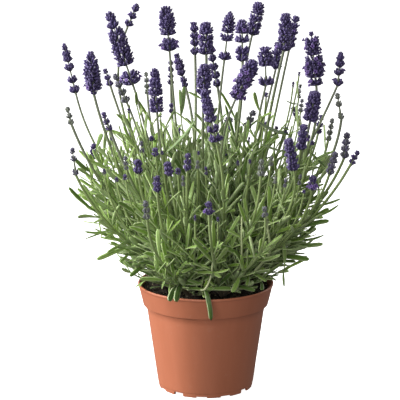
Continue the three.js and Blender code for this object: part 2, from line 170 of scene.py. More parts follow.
def loft(name, rings):  # a closed piece; rings run anticlockwise seen from the last one
    points, numbers = numbered(rings)
    faces = ringFaces(numbers)
    if len(rings[0]) > 1:
        faces.append(tuple(reversed(numbers[0])))
    if len(rings[-1]) > 1:
        faces.append(tuple(numbers[-1]))
    return newPiece(name, points, [], faces)


# Where everything grows: the same rule as the solids.
pot = {
    "height": 95, "rimRadius": 60, "footRadius": 41.6, "wall": 1.5, "shoulderHeight": 71, "shoulderRadius": 51.7,
    "collarHeight": 75.8, "collarRadius": 55.1, "collarTopRadius": 59, "lipHeight": 2, "sides": 144, "sharpAbove": 38,
    "notches": 12, "drainEvery": 3, "drainHeight": 3.2, "drainStart": -125, "notchHeight": 1.3, "notchWidth": 9.4,
    "holeRadius": 3.5, "holeCircle": 27, "holeSides": 32, "holeLength": 20, "cutLength": 12,
}
trunk = {"radius": 2.6, "top": 99, "fork": 8, "ring": 28, "branches": 6, "middleReach": 38}
stemRule = {"lowReach": 0.36, "lowRise": 0.34, "highPull": 0.36, "shootLift": 70, "tallLift": 260}
leafRule = {
    "seat": 0.3, "onStem": (42, 28), "onShoot": (34, 26), "size": (0.8, 1.15), "firstPair": 9,
    "pairPitch": (8, 13), "open": (20, 44), "arch": (-12, 28), "leafyShare": 0.7, "leafyMost": 145, "smallShare": 0.4,
}
# Flower spikes: tip, lean in degrees towards +X and +Y, length, width, whorls, and whorls in the dense head.
spikes = [
    ((-129, 92, 294.5), (-13, 4), 47.5, 10.4, 6, 3),
    ((-98.5, -25, 305.5), (-4, -4), 39, 15, 6, 5),
    ((-85, 25, 333), (-18, 4), 68.5, 17, 9, 7),
    ((-60.5, 70, 333.5), (24, 8), 21.5, 8, 4, 2),
    ((-35.5, 45, 335), (-5, 6), 40.5, 15.5, 6, 4),
    ((-27, 92, 285), (-16, 10), 32.5, 8.5, 5, 2),
    ((-10.5, 85, 315), (-2, 8), 28.5, 9.5, 5, 3),
    ((0, 36, 322), (-1, 4), 29, 13.5, 5, 5),
    ((3, 60, 303.5), (-10, 6), 43.5, 9, 6, 2),
    ((-1, -20, 293.5), (2, -4), 27, 13, 5, 4),
    ((-2, -75, 281), (-13, -10), 51, 12.5, 8, 3),
    ((21.5, 20, 334), (7, 2), 44.5, 12, 5, 3),
    ((48, 55, 337), (13, 6), 30.5, 12.5, 5, 4),
    ((31, -5, 330), (-1, 0), 37, 13, 5, 3),
    ((41, -45, 302), (24, -8), 39, 15, 6, 5),
    ((68.5, -12, 336.5), (3, 0), 33, 12.5, 5, 4),
    ((80, 42, 326.5), (12, 6), 28, 9, 5, 3),
    ((50.5, -30, 310), (-1, -4), 34, 13.5, 4, 3),
    ((65.5, 76, 298), (5, 8), 23.5, 10.5, 4, 4),
    ((91.5, 15, 316.5), (-6, 2), 50, 18, 7, 5),
    ((93, -42, 274), (9, -8), 27.5, 13.5, 5, 5),
    ((120, 45, 294.5), (5, 6), 30, 9.8, 5, 2),
    ((-43.5, -50, 295.5), (-3, -6), 40, 12, 6, 3),
    ((68, -85, 241.5), (-11, -12), 28, 11, 5, 4),
    ((82.5, -62, 249.5), (6, -8), 22, 9.5, 4, 3),
    ((-90.5, 60, 276.5), (-18, 8), 16.5, 7, 3, 2),
    ((-81, 38, 275.5), (-23, 4), 28, 8, 4, 2),
    ((112, -28, 270), (-10, -4), 24, 6.5, 3, 2),
    ((-119.5, -20, 256.5), (-13, -4), 16.5, 6.3, 3, 2),
    ((121, -32, 236.5), (5, -6), 23, 8, 4, 2),
    ((130, -45, 223), (28, 0), 13, 6.5, 3, 2),
    ((110.5, -52, 223.5), (15, -8), 20.5, 8, 4, 3),
    ((112, 22, 238.5), (11, 3), 21, 6.3, 4, 2),
    ((105, 62, 234), (12, 8), 18, 7, 3, 2),
    ((79.5, 88, 236.5), (-22, 12), 14, 7, 3, 2),
    ((-114.5, -38, 224.5), (-7, -6), 25.5, 6.5, 3, 2),
    ((-99, 30, 214), (8, 4), 18.5, 7.5, 4, 4),
    ((-87, -52, 258), (-19, -8), 18, 6.8, 3, 3),
    ((-54.5, 96, 267.5), (-4, 12), 21, 6, 4, 3),
    ((-57.5, -76, 222), (-4, -10), 11.5, 9, 2, 2),
    ((-41, -96, 212.5), (-2, -12), 14, 7.6, 3, 3),
    ((-50, -110, 194.5), (-4, -14), 17.5, 6.5, 3, 2),
    ((-15, -82, 228.5), (2, -10), 14.5, 7, 3, 3),
    ((2, -115, 195), (-2, -14), 11.5, 8.6, 2, 2),
    ((-33, -62, 217), (-10, -6), 11, 8, 3, 3),
    ((43, 30, 244), (24, 4), 17.5, 8, 3, 2),
    ((46, -92, 225.5), (2, -10), 14.5, 6.3, 3, 3),
    ((48, -112, 190), (-5, -14), 10, 6, 2, 2),
    ((90, -78, 208.5), (5, -12), 12, 9, 2, 2),
    ((-32, 104, 277), (-1, 10), 23, 6.5, 4, 3),
    ((22, 112, 222.5), (6, 14), 13, 10, 2, 2),
]
shoots = [
    (-2, -52, 102), (-98, -14, 160), (-84, 22, 132), (-70, -34, 116), (-96, 40, 170), (-44, -70, 124),
    (-20, -84, 150), (16, -62, 132), (46, -72, 138), (72, -46, 122), (96, -16, 148), (88, 20, 126),
    (94, 44, 162), (58, 70, 132), (20, 86, 142), (-22, 78, 124), (-60, 66, 146),
]
# Tips of the upright shoots whose long leaves stand between the flower stems.
tallShoots = [
    (-59.2, -20, 256.7), (-75.2, -10, 237.2), (-64.6, -40, 244.8), (-39.3, -30, 246.4), (-22.1, -30, 258.6),
    (-47.8, 40, 231.1), (46.3, -30, 249.9), (74.2, -20, 239.2), (80.7, -30, 234.2), (94.6, -30, 218.4),
    (105.1, 0, 206.8), (-86.3, 0, 212.2), (-96.9, 20, 209.8), (-104.2, -10, 203.6), (6.6, 50, 216.4),
    (33.5, -30, 232.4), (59.1, 40, 223.9), (17.5, -10, 232.0),
]
# Small spikes on thin side stems: tip, lean, length, width, whorls, whorls in the dense head, and how ripe (0 to 1).
smallSpikes = [
    ((-66.9, -10, 253.4), (-5, -1), 5.2, 4.8, 1, 1, 1),
    ((-68.7, -50, 219.6), (-6, -4), 13.1, 5.1, 3, 2, 0.7),
    ((-76.2, -50, 201.3), (-6, -4), 5.2, 5.1, 1, 1, 1),
    ((-68.5, -60, 206.1), (-6, -5), 6.1, 6.8, 1, 1, 1),
    ((-43, -60, 228.5), (-4, -5), 6.9, 7.7, 2, 2, 1),
    ((-37.1, -60, 226.5), (-3, -5), 4.3, 4.7, 1, 1, 1),
    ((-23.6, -70, 213.5), (-2, -6), 6.8, 7.6, 1, 1, 1),
    ((-9.2, -90, 177.6), (-1, -7), 6.0, 4.2, 1, 1, 1),
    ((10, -90, 176), (1, -7), 5.1, 4.2, 1, 1, 1),
    ((54, 20, 236), (4, 2), 6.3, 8.0, 1, 1, 1),
    ((62.9, 30, 230), (5, 2), 7.2, 5.4, 2, 2, 1),
    ((71.5, 30, 228.9), (6, 2), 7.2, 6.2, 2, 2, 1),
    ((37.9, 0, 226.1), (3, 0), 5.3, 4.0, 1, 1, 1),
    ((83.7, 30, 267.6), (7, 2), 13.4, 4.9, 3, 2, 0.6),
    ((84.9, 20, 256.4), (7, 2), 12.5, 5.8, 3, 2, 0.55),
    ((91.2, -40, 231), (8, -3), 5.2, 6.4, 1, 1, 1),
    ((0.1, -40, 208.2), (0, -3), 7.9, 4.3, 2, 2, 1),
    ((16.8, 0, 215.7), (1, 0), 7.1, 5.3, 2, 2, 1),
    ((78.4, 50, 266.5), (6, 4), 6.4, 4.1, 1, 1, 0.9),
    ((83.6, 50, 275.3), (7, 4), 4.5, 4.5, 1, 1, 1),
    ((52.4, -10, 267.5), (4, -1), 5.3, 6.6, 1, 1, 1),
    ((37.7, -40, 214.9), (3, -3), 5.2, 4.3, 1, 1, 1),
    ((27.5, -30, 211.8), (2, -2), 6.1, 3.9, 1, 1, 1),
    ((55.6, -60, 221.7), (5, -5), 9.5, 5.1, 2, 2, 0.35),
    ((67.3, -70, 204.4), (6, -6), 8.6, 4.2, 2, 2, 0.7),
    ((79.6, -70, 207.9), (7, -6), 10.4, 4.7, 2, 2, 0.5),
    ((82.6, -76, 196.4), (7, -6), 4.3, 4.6, 1, 1, 1),
    ((58.2, -80, 208.4), (5, -6), 6.9, 4.2, 2, 2, 0.25),
    ((90.3, 0, 228.2), (7, 0), 5.3, 4.8, 1, 1, 1),
    ((-47.7, 10, 225.3), (-4, 1), 5.4, 7.1, 1, 1, 1),
    ((-37.1, 20, 226), (-3, 2), 5.4, 4.9, 1, 1, 1),
    ((-23.3, 30, 228.3), (-2, 2), 6.4, 3.6, 1, 1, 1),
    ((-55.3, -30, 228.7), (-4, -2), 11.4, 5.6, 2, 2, 0.75),
    ((-66.1, 0, 230.4), (-5, 0), 8.0, 3.5, 2, 2, 0.5),
    ((-30.8, 60, 245), (-2, 5), 9.1, 7.3, 2, 2, 1),
    ((-81, -30, 232.3), (-7, -2), 4.3, 3.9, 1, 1, 1),
    ((-87.5, -40, 206.6), (-7, -3), 6.1, 5.2, 1, 1, 0.8),
    ((-6.3, -30, 219.8), (0, -2), 4.4, 3.5, 1, 1, 1),
    ((-7.2, -60, 217.9), (-1, -5), 7.8, 5.1, 2, 2, 0.5),
    ((-19.3, -80, 209.2), (-2, -6), 10.3, 4.2, 2, 2, 0.6),
    ((-40.5, 50, 238.3), (-3, 4), 5.5, 3.6, 1, 1, 0.8),
]
# Soft side shoots along free curves: points, radius from foot to tip, and age.
sprays = [
    (((-4.7, -65, 105), (-0.8, -65, 106.1), (3, -66, 113.5), (4.9, -70, 122.5), (5.8, -74, 132),
     (9.9, -77, 136.8), (15.1, -80, 142.4)), (0.9, 0.6), -1.0),
    (((25.2, -56, 117.8), (28.9, -63, 124.9), (30.2, -72, 138.7), (30, -80, 154.4), (30, -84, 173.9)),
     (1.1, 0.8), -0.6),
    (((40.8, -54, 118.1), (48.3, -62, 128.8), (53.2, -72, 138.4), (53.9, -80, 150.0), (51.3, -88, 167),
     (50.3, -92, 174.9)), (1.4, 0.9), -0.5),
]
# Leaves that stand out from the bush: root, tip, bend in degrees, width, age, greyness, and shape; an age below zero is
# painted shade, darkening the leaf towards deep green.
placedLeaves = [
    ((-90.6, -18, 161.7), (-119.3, -30, 186.3), -12, 4.6, 0.15, 0.1, 1),
    ((-95.5, -20, 164.4), (-103.8, -26, 168.9), 8, 3.2, 0.2, 0.2, 1),
    ((-70.9, -34, 129.9), (-93.7, -48, 126.4), 16, 4.8, 0.8, 0.9, 1),
    ((-74.3, -34, 136.1), (-85, -42, 131.6), 10, 3.2, 0.4, 0.4, 1),
    ((-82.2, -28, 149.8), (-104.1, -40, 151), -38, 3.0, 0.7, 0.5, 2),
    ((-89.2, -30, 141.8), (-104.1, -38, 144), 4, 1.8, 0.6, 0.6, 0),
    ((-90.7, -22, 158.6), (-97.5, -28, 155.3), 6, 2.2, 0.6, 0.5, 2),
    ((-97.5, -28, 155.3), (-90, -30, 142.3), 4, 1.4, 0.6, 0.5, 0),
    ((-81.3, -30, 146.7), (-87.6, -36, 142.6), 8, 3.0, 0.5, 0.8, 1),
    ((-48.4, -36, 114.7), (-65.4, -52, 112.7), 22, 4.4, 0.15, 0.2, 1),
    ((-45.9, -34, 114.6), (-58.2, -46, 122.5), 14, 3.8, 0.2, 0.3, 1),
    ((-68.3, -36, 127.2), (-73.9, -42, 123.4), 6, 3.0, 0.3, 0.3, 1),
    ((-56.1, -38, 124.6), (-71.3, -46, 132.5), -8, 3.6, 0.3, 0.3, 2),
    ((-97.9, -20, 179.5), (-110.9, -26, 184.9), 6, 3.0, 0.4, 0.3, 1),
    ((-99.1, -10, 197.8), (-112.4, -18, 210.3), -14, 5.6, 0.15, 0.3, 2),
    ((-104.5, -4, 208.1), (-110.3, -8, 216), 0, 3.0, 0.5, 0.4, 0),
    ((-99.6, 12, 213.3), (-95.8, 16, 226.3), -6, 5.0, -0.1, 0.6, 1),
    ((-90.3, 6, 194.8), (-89.3, 2, 207), 0, 4.0, 0.8, 0.8, 1),
    ((-96, 20, 213.4), (-86, 14, 212.3), 0, 1.4, 0.5, 0.4, 0),
    ((-35.6, -52, 221.3), (-7.9, -64, 251.6), -18, 3.6, 0.1, 0.2, 0),
    ((-7.6, -8, 262.4), (-14.7, -14, 268.9), -6, 2.8, 0.2, 0.2, 0),
    ((-61, -30, 260.3), (-58.2, -32, 271.2), 6, 4.6, 0.4, 0.4, 2),
    ((-71.9, -40, 239.6), (-74.3, -44, 255.5), 6, 3.4, 0.5, 0.4, 0),
    ((-60.7, -30, 242), (-71, -36, 252.9), -8, 4.2, 0.05, 0.1, 0),
    ((-24, -14, 250.3), (-18.4, -18, 273.3), 10, 4.4, -0.3, 0.4, 2),
    ((-20.5, -24, 254), (-22.3, -28, 272.4), -4, 3.6, 0.0, 0.5, 0),
    ((42.2, -20, 253.2), (40.9, -22, 268.7), 4, 4.0, 0.75, 0.6, 1),
    ((45.5, -26, 252.6), (44.2, -28, 267.7), -6, 3.6, 0.7, 0.5, 0),
    ((55.5, -34, 252.4), (57.3, -36, 265.2), 4, 3.0, 0.2, 0.2, 0),
    ((78.8, -8, 261.5), (79.4, -8, 276.6), 0, 4.6, 1.0, 0.1, 2),
    ((79.6, -12, 250), (69.7, -16, 261.7), -10, 3.4, 0.4, 0.3, 0),
    ((63.1, -40, 232.7), (44.3, -52, 249.6), -14, 5.2, 0.05, 0.1, 2),
    ((62.6, -36, 217), (48.1, -44, 229.5), -8, 3.4, 0.3, 0.3, 0),
    ((103.1, -20, 202.2), (92.4, -26, 217.9), -14, 3.6, 0.05, 0.1, 0),
    ((92.1, -30, 209.6), (106.6, -36, 219.1), 4, 2.4, 0.3, 0.3, 0),
    ((32.6, -30, 242), (24.5, -34, 248.5), 4, 3.2, 0.3, 0.3, 0),
    ((76.8, -20, 236.7), (64.6, -24, 239.3), 0, 1.6, 0.4, 0.4, 0),
    ((30, -40, 216.1), (17.9, -46, 224.5), -6, 3.0, 0.4, 0.3, 0),
    ((55.7, -34, 120.9), (87.9, -52, 130.5), 12, 5.6, 0.1, 0.25, 1),
    ((78.3, -30, 137.3), (102.4, -40, 146), -16, 5.0, 0.25, 0.3, 0),
    ((84.4, -26, 148.9), (105.7, -34, 160.2), 14, 4.6, 0.15, 0.25, 1),
    ((81.8, -28, 141.7), (97.9, -34, 154.3), 10, 3.8, 0.3, 0.3, 0),
    ((99.2, -22, 159.5), (115.4, -28, 170.9), -24, 2.4, 0.4, 0.3, 0),
    ((103.6, -20, 167.5), (117.2, -26, 175.5), -10, 2.8, 0.35, 0.3, 0),
    ((62.2, -34, 120), (67.6, -48, 103.4), -12, 2.2, 0.1, 0.5, 0),
    ((63.1, -34, 120), (66.8, -44, 112.1), -20, 1.4, 0.2, 0.5, 0),
    ((56, -40, 109.9), (63, -50, 113.6), 10, 3.2, 0.1, 0.2, 0),
    ((56, -40, 109.9), (60.2, -50, 109.5), 10, 2.6, 0.15, 0.2, 0),
    ((-25, -55, 103.6), (-31.3, -68, 96.5), 26, 5.6, -1.0, 0.05, 2),
    ((-18.6, -55, 103.6), (-25.6, -68, 95.9), 26, 5.6, -0.9, 0.05, 2),
    ((-20.3, -59, 105.8), (-2.9, -55, 108.2), -6, 4.8, -0.1, 0.3, 2),
    ((-21, -57, 101), (-1.6, -57, 103.2), 6, 3.4, 0.15, 0.25, 2),
    ((-0.3, -59, 105), (22.5, -59, 106.6), 4, 5.0, 0.15, 0.3, 1),
    ((28.6, -55, 116.8), (23.1, -66, 103.5), 14, 5.2, 0.45, 0.15, 1),
    ((6.2, -57, 112.4), (7, -61, 107.8), 10, 3.4, 0.7, 0.4, 2),
    ((41.5, -57, 111.9), (35, -63, 108.7), 8, 3.4, 0.4, 0.4, 1),
    ((41.2, -55, 112.3), (51.8, -59, 110.9), 16, 3.4, 0.5, 0.5, 2),
    ((44.2, -55, 108.3), (48, -61, 104.1), 6, 3.6, 0.0, 0.1, 1),
    ((-37, -44, 105.1), (-32, -50, 96.6), 4, 2.2, 0.4, 0.8, 2),
    ((-41.8, -40, 109.9), (-38.8, -44, 101.2), 8, 3.0, 0.5, 0.9, 2),
    ((5.3, -70, 124.2), (-18.5, -74, 132.2), 30, 3.2, 0.75, 0.7, 0),
    ((-8.5, -66, 126.1), (-20.5, -72, 121.7), 10, 3.4, 0.7, 0.7, 1),
    ((4.9, -74, 121.7), (12.6, -77, 119.3), 20, 3.6, 0.95, 0.8, 2),
    ((4.9, -74, 122.4), (20.6, -78, 126.5), -20, 3.4, 0.95, 0.7, 0),
    ((7.8, -72, 131.8), (17.2, -76, 133.9), 16, 2.6, 0.95, 0.7, 0),
    ((5.6, -72, 131.3), (0.1, -76, 140.6), -10, 2.4, 0.95, 0.7, 0),
    ((30.8, -74, 136.6), (50.9, -78, 137.3), 34, 3.4, 0.6, 0.4, 0),
    ((28.9, -72, 135.3), (10.8, -80, 148.4), 36, 4.8, 0.1, 0.2, 2),
    ((28.8, -76, 153.5), (18.4, -80, 163), 12, 3.6, 0.5, 0.4, 0),
    ((31.3, -76, 151.8), (42.4, -80, 163.8), 12, 3.8, 0.55, 0.4, 0),
    ((56.2, -76, 144.7), (61.2, -80, 158), 4, 4.6, 0.5, 0.5, 1),
    ((-57.2, -65, 170.3), (-73.2, -71, 184.3), 20, 5.0, 0.2, 0.3, 2),
    ((-37.5, -69, 147.1), (-59, -75, 166), 44, 4.6, 0.15, 0.2, 2),
    ((-41.6, -71, 161.2), (-60.9, -77, 165.7), 20, 4.4, 0.5, 0.6, 2),
]
# The leaf that hangs over the rim, from the tip of the first shoot.
rimLeaf = [(-2, -52, 102), (-0.5, -59, 104), (1.5, -65, 99), (3.5, -67, 89), (4.5, -66, 78)]
# Stems that bend just under their spike: the lean towards +X with which they arrive, in degrees.
arrivals = {2: -13, 16: 13, 18: 13, 19: 13, 22: 24, 28: 6, 29: -20, 30: 20, 36: -22}


def leaning(towardsX, towardsY):
    return Vector((math.tan(math.radians(towardsX)), math.tan(math.radians(towardsY)), 1)).normalized()


def rotated(axis, radius, angle):  # a vector of that length square to an axis, at an angle round it
    a = Vector((0.31, 0.95, 0.05))
    a = (a - axis * a.dot(axis)).normalized()
    return a * (radius * math.cos(angle)) + axis.cross(a) * (radius * math.sin(angle))


def branchOf(x, y):  # the number of the branch that carries a point
    if math.hypot(x, y) < trunk["middleReach"]:
        return trunk["branches"]
    return math.floor(math.atan2(y, x) * trunk["branches"] / math.tau + 0.5) % trunk["branches"]


def curvePoint(curve, t):
    a, b, c, d = curve
    s = 1 - t
    return a * s ** 3 + b * (3 * s * s * t) + c * (3 * s * t * t) + d * t ** 3


def curveTangent(curve, t):
    a, b, c, d = curve
    s = 1 - t
    return ((b - a) * s * s + (c - b) * (2 * s * t) + (d - c) * t * t).normalized()


def curveLength(curve):
    stops = [curvePoint(curve, i / 100) for i in range(101)]
    return sum((b - a).length for a, b in zip(stops, stops[1:]))


def stemCurve(foot, end, direction):
    out = Vector((end.x - foot.x, end.y - foot.y, 0))
    leaving = trunk["top"] - 1 - trunk["fork"] * min(1, out.length / max(1, end.z - trunk["top"]))
    start = Vector((foot.x, foot.y, leaving)) + out.normalized() * (0.5 * trunk["radius"])
    reach = Vector((end.x - start.x, end.y - start.y, 0)) * stemRule["lowReach"]
    low = start + reach + up * (stemRule["lowRise"] * (end.z - start.z))
    high = end - direction * (stemRule["highPull"] * (end - start).length)
    return start, low, high, end


def flowerStem(spike, seed, ripe=None):
    tip, lean, length = spike[:3]
    direction = leaning(*lean)
    base = Vector(tip) - direction * length
    branch = branchOf(base.x, base.y)
    curve = stemCurve(feet[branch], base - direction * gap, leaning(arrivals.get(seed, lean[0]), lean[1]))
    return {"kind": "flower" if ripe is None else "small", "branch": branch, "seed": seed, "curve": curve,
            "base": base, "direction": direction, "spike": spike, "ripe": ripe}


def leafyShoot(tip, seed, lift=stemRule["shootLift"], kind="shoot"):
    end = Vector(tip)
    branch = branchOf(end.x, end.y)
    direction = Vector((end.x, end.y, lift)).normalized()
    curve = stemCurve(feet[branch], end, direction)
    return {"kind": kind, "branch": branch, "seed": seed, "curve": curve, "spike": None}


# More leafy shoots fill the bush between the ones that the solids have; reach is a table of heights and radii.
fill = {
    "count": 46, "seed": 40, "heights": (104, 196), "inner": 0.3, "turn": 2.39996,
    "reach": ((98, 50), (115, 76), (136, 90), (170, 98), (212, 84)),
}


def fillingTips():
    draw = draws(fill["seed"])
    tips = []
    for i in range(fill["count"]):
        z = between(fill["heights"], (i + draw()) / fill["count"])
        radius = tableAt(fill["reach"], z) * between((fill["inner"], 1), math.sqrt(draw()))
        angle = i * fill["turn"]
        tips.append((radius * math.cos(angle), radius * math.sin(angle), z))
    return tips


turns = [math.tau * i / trunk["branches"] for i in range(trunk["branches"])]
feet = [Vector((trunk["ring"] * math.cos(turn), trunk["ring"] * math.sin(turn), 0)) for turn in turns]
feet.append(Vector((0, 0, 0)))
stems = [flowerStem(spike, 1 + i) for i, spike in enumerate(spikes)]
stems += [leafyShoot(tip, 101 + i) for i, tip in enumerate(shoots)]
stems += [leafyShoot(tip, 201 + i) for i, tip in enumerate(fillingTips())]
stems += [leafyShoot(tip, 301 + i, stemRule["tallLift"], "tall") for i, tip in enumerate(tallShoots)]
stems += [flowerStem(spike[:6], 401 + i, spike[6]) for i, spike in enumerate(smallSpikes)]
print(f"layout: {len(stems)} stems")


# Blanks are the shapes that repeat: share of the length, then across and up as shares of width and thickness.
def newBlank(collection, name, rings):
    blank = loft(name, rings)
    mesh = blank.data
    for vertex in mesh.vertices:
        vertex.co /= mm  # blanks are in shares and not in millimetres
    mark(mesh, "blankPlace", "FLOAT_VECTOR", [vertex.co for vertex in mesh.vertices])
    scene.collection.objects.unlink(blank)
    collection.objects.link(blank)
    return mesh


def ringOf(count, t, radius):  # radius and t may be numbers or lists that repeat round the ring
    ring = []
    for i in range(count):
        angle = math.tau * i / count
        r = radius[i % len(radius)] if isinstance(radius, tuple) else radius
        h = t[i % len(t)] if isinstance(t, tuple) else t
        ring.append((h, 0.5 * r * math.cos(angle), 0.5 * r * math.sin(angle)))
    return ring


leafSection = ((0.5, -0.2), (0.27, 0.35), (0, 0.1), (-0.27, 0.35), (-0.5, -0.2), (0, -0.5))
leafBlades = {  # share of length and width; how far the tip swings sideways, in widths
    "leaf0narrow": (((0, 0.2), (0.1, 0.36), (0.34, 0.84), (0.62, 1), (0.86, 0.8), (0.965, 0.46)), 0.6),
    "leaf1blunt": (((0, 0.18), (0.12, 0.32), (0.4, 0.74), (0.7, 1), (0.9, 0.92), (0.98, 0.56)), -0.5),
    "leaf2even": (((0, 0.22), (0.1, 0.5), (0.32, 0.92), (0.6, 1), (0.88, 0.88), (0.975, 0.5)), 0.2),
}
blankNames = ("leafBlanks", "calyxBlanks", "corollaBlanks")
leafBlanks, calyxBlanks, corollaBlanks = [bpy.data.collections.new(name) for name in blankNames]
for name, (stations, swing) in leafBlades.items():
    rings = [[(t, y * w + swing * t * t, z * w ** 0.3) for y, z in leafSection] for t, w in stations]
    blade = newBlank(leafBlanks, name, rings + [[(1, swing, -0.1)]])
    mark(blade, "bladeSide", "FLOAT", [y for _ in stations for y, _ in leafSection] + [0])
newBlank(calyxBlanks, "calyx0toothed", [
    ringOf(6, 0, 0.3), ringOf(6, 0.2, 0.68), ringOf(6, 0.55, 0.96), ringOf(6, 0.82, 0.92),
    ringOf(6, (1.1, 0.9), (0.94, 0.84)), [(0.78, 0, 0)]])
newBlank(calyxBlanks, "calyx1bud", [
    ringOf(6, 0, 0.28), ringOf(6, 0.22, 0.7), ringOf(6, 0.55, 1), ringOf(6, (0.86, 0.8), (0.9, 0.8)),
    ringOf(6, 0.92, 0.56), [(1.08, 0.03, 0.04)]])
newBlank(calyxBlanks, "calyx2bract", [
    [(t, wide, edge), (t, 0, top), (t, -wide, edge), (t, 0, low)] for t, wide, edge, top, low in
    ((0, 0.16, 0, 0.3, -0.3), (0.4, 0.5, -0.2, 0.3, -0.4), (0.75, 0.3, -0.1, 0.3, -0.3))] + [[(1, 0, 0)]])
newBlank(corollaBlanks, "corolla0", [
    ringOf(15, 0, 0.2), ringOf(15, 0.42, 0.26), ringOf(15, 0.66, (0.5, 0.6, 0.6)),
    ringOf(15, (0.86, 0.8, 0.8), (0.62, 1.02, 1.02)), ringOf(15, (0.84, 0.78, 0.78), (0.46, 0.7, 0.7)),
    ringOf(15, 0.6, 0.2), [(0.42, 0, 0)]])

# What every point of a planted piece carries for its leaf, calyx or corolla.
sprigFields = {
    "growAlong": "FLOAT_VECTOR", "growUp": "FLOAT_VECTOR", "growSize": "FLOAT_VECTOR", "growBend": "FLOAT",
    "growTwist": "FLOAT", "growRoll": "FLOAT", "growKind": "INT", "tint": "FLOAT", "age": "FLOAT",
}


def newTree(name, sockets):  # a geometry node tree with named inputs
    tree = bpy.data.node_groups.new(name, "GeometryNodeTree")
    for label, kind in {"Geometry": "Geometry", **sockets}.items():
        tree.interface.new_socket(label, in_out="INPUT", socket_type="NodeSocket" + kind)
    tree.interface.new_socket("Geometry", in_out="OUTPUT", socket_type="NodeSocketGeometry")
    return tree, addNode(tree, "NodeGroupInput").outputs


def endTree(tree, geometry, given):
    real = addNode(tree, "GeometryNodeRealizeInstances", {}, {"Geometry": geometry})
    painted = addNode(tree, "GeometryNodeSetMaterial", {}, {"Geometry": real, "Material": given["Material"]})
    addNode(tree, "NodeGroupOutput", {}, {"Geometry": painted})
    return tree


def placingTree():  # puts a blank at every point, then bends, twists and turns it the way the point says
    tree, given = newTree("placeOnStems", {
        "Blanks": "Collection", "Width": "Float", "Thickness": "Float", "Material": "Material"})
    read = {name: addNode(tree, "GeometryNodeInputNamedAttribute", {"data_type": kind, "Name": name})
            for name, kind in {"blankPlace": "FLOAT_VECTOR", **sprigFields}.items() if name not in ("tint", "age")}
    blanks = addNode(tree, "GeometryNodeCollectionInfo", {"Separate Children": True, "Reset Children": True},
                     {"Collection": given["Blanks"]})
    placed = addNode(tree, "GeometryNodeInstanceOnPoints", {"Pick Instance": True},
                     {"Points": given["Geometry"], "Instance": blanks, "Instance Index": read["growKind"]})
    real = addNode(tree, "GeometryNodeRealizeInstances", {}, {"Geometry": placed})
    fuller = addNode(tree, "ShaderNodeCombineXYZ", {"X": 1.0}, {"Y": given["Width"], "Z": given["Thickness"]})
    sizes = addNode(tree, "ShaderNodeVectorMath", {"operation": "MULTIPLY"}, {0: read["growSize"], 1: fuller})
    sized = addNode(tree, "ShaderNodeVectorMath", {"operation": "MULTIPLY"}, {0: read["blankPlace"], 1: sizes})
    parts = addNode(tree, "ShaderNodeSeparateXYZ", {}, {0: sized}).outputs
    share = addNode(tree, "ShaderNodeSeparateXYZ", {}, {0: read["blankPlace"]}).outputs["X"]
    section = addNode(tree, "ShaderNodeCombineXYZ", {}, {"Y": parts["Y"], "Z": parts["Z"]})
    reach = addNode(tree, "ShaderNodeCombineXYZ", {}, {"X": parts["X"]})
    bend = addNode(tree, "ShaderNodeMath", {"operation": "MULTIPLY"}, {0: read["growBend"], 1: share})
    halfBend = addNode(tree, "ShaderNodeMath", {"operation": "MULTIPLY", 1: 0.5}, {0: bend})
    twist = addNode(tree, "ShaderNodeMath", {"operation": "MULTIPLY_ADD"},
                    {0: read["growTwist"], 1: share, 2: read["growRoll"]})
    twisted = addNode(tree, "ShaderNodeVectorRotate", {"rotation_type": "X_AXIS"}, {"Vector": section, "Angle": twist})
    turned = addNode(tree, "ShaderNodeVectorRotate", {"rotation_type": "Y_AXIS"}, {"Vector": twisted, "Angle": bend})
    carried = addNode(tree, "ShaderNodeVectorRotate", {"rotation_type": "Y_AXIS"}, {"Vector": reach, "Angle": halfBend})
    bent = addNode(tree, "ShaderNodeVectorMath", {"operation": "ADD"}, {0: turned, 1: carried})
    facing = addNode(tree, "FunctionNodeAxesToRotation", {"primary_axis": "X", "secondary_axis": "Z"},
                     {"Primary Axis": read["growAlong"], "Secondary Axis": read["growUp"]})
    aimed = addNode(tree, "FunctionNodeRotateVector", {}, {"Vector": bent, "Rotation": facing})
    offset = addNode(tree, "ShaderNodeVectorMath", {"operation": "SUBTRACT"}, {0: aimed, 1: read["blankPlace"]})
    return endTree(tree, addNode(tree, "GeometryNodeSetPosition", {}, {"Geometry": real, "Offset": offset}), given)


def sweepingTree():  # sweeps a ribbed section along lines of edges, as thick as each point says
    tree, given = newTree("sweepStems", {"Ribs": "Int", "Groove": "Float", "Material": "Material"})
    thick = addNode(tree, "GeometryNodeInputNamedAttribute", {"data_type": "FLOAT", "Name": "stemRadius"})
    line = addNode(tree, "GeometryNodeMeshToCurve", {}, {"Mesh": given["Geometry"]})
    section = addNode(tree, "GeometryNodeCurveStar", {"Outer Radius": 1.0},
                      {"Points": given["Ribs"], "Inner Radius": given["Groove"]})
    swept = addNode(tree, "GeometryNodeCurveToMesh", {"Fill Caps": True},
                    {"Curve": line, "Profile Curve": section, "Scale": thick})
    return endTree(tree, addNode(tree, "GeometryNodeSetShadeSmooth", {}, {"Geometry": swept}), given)


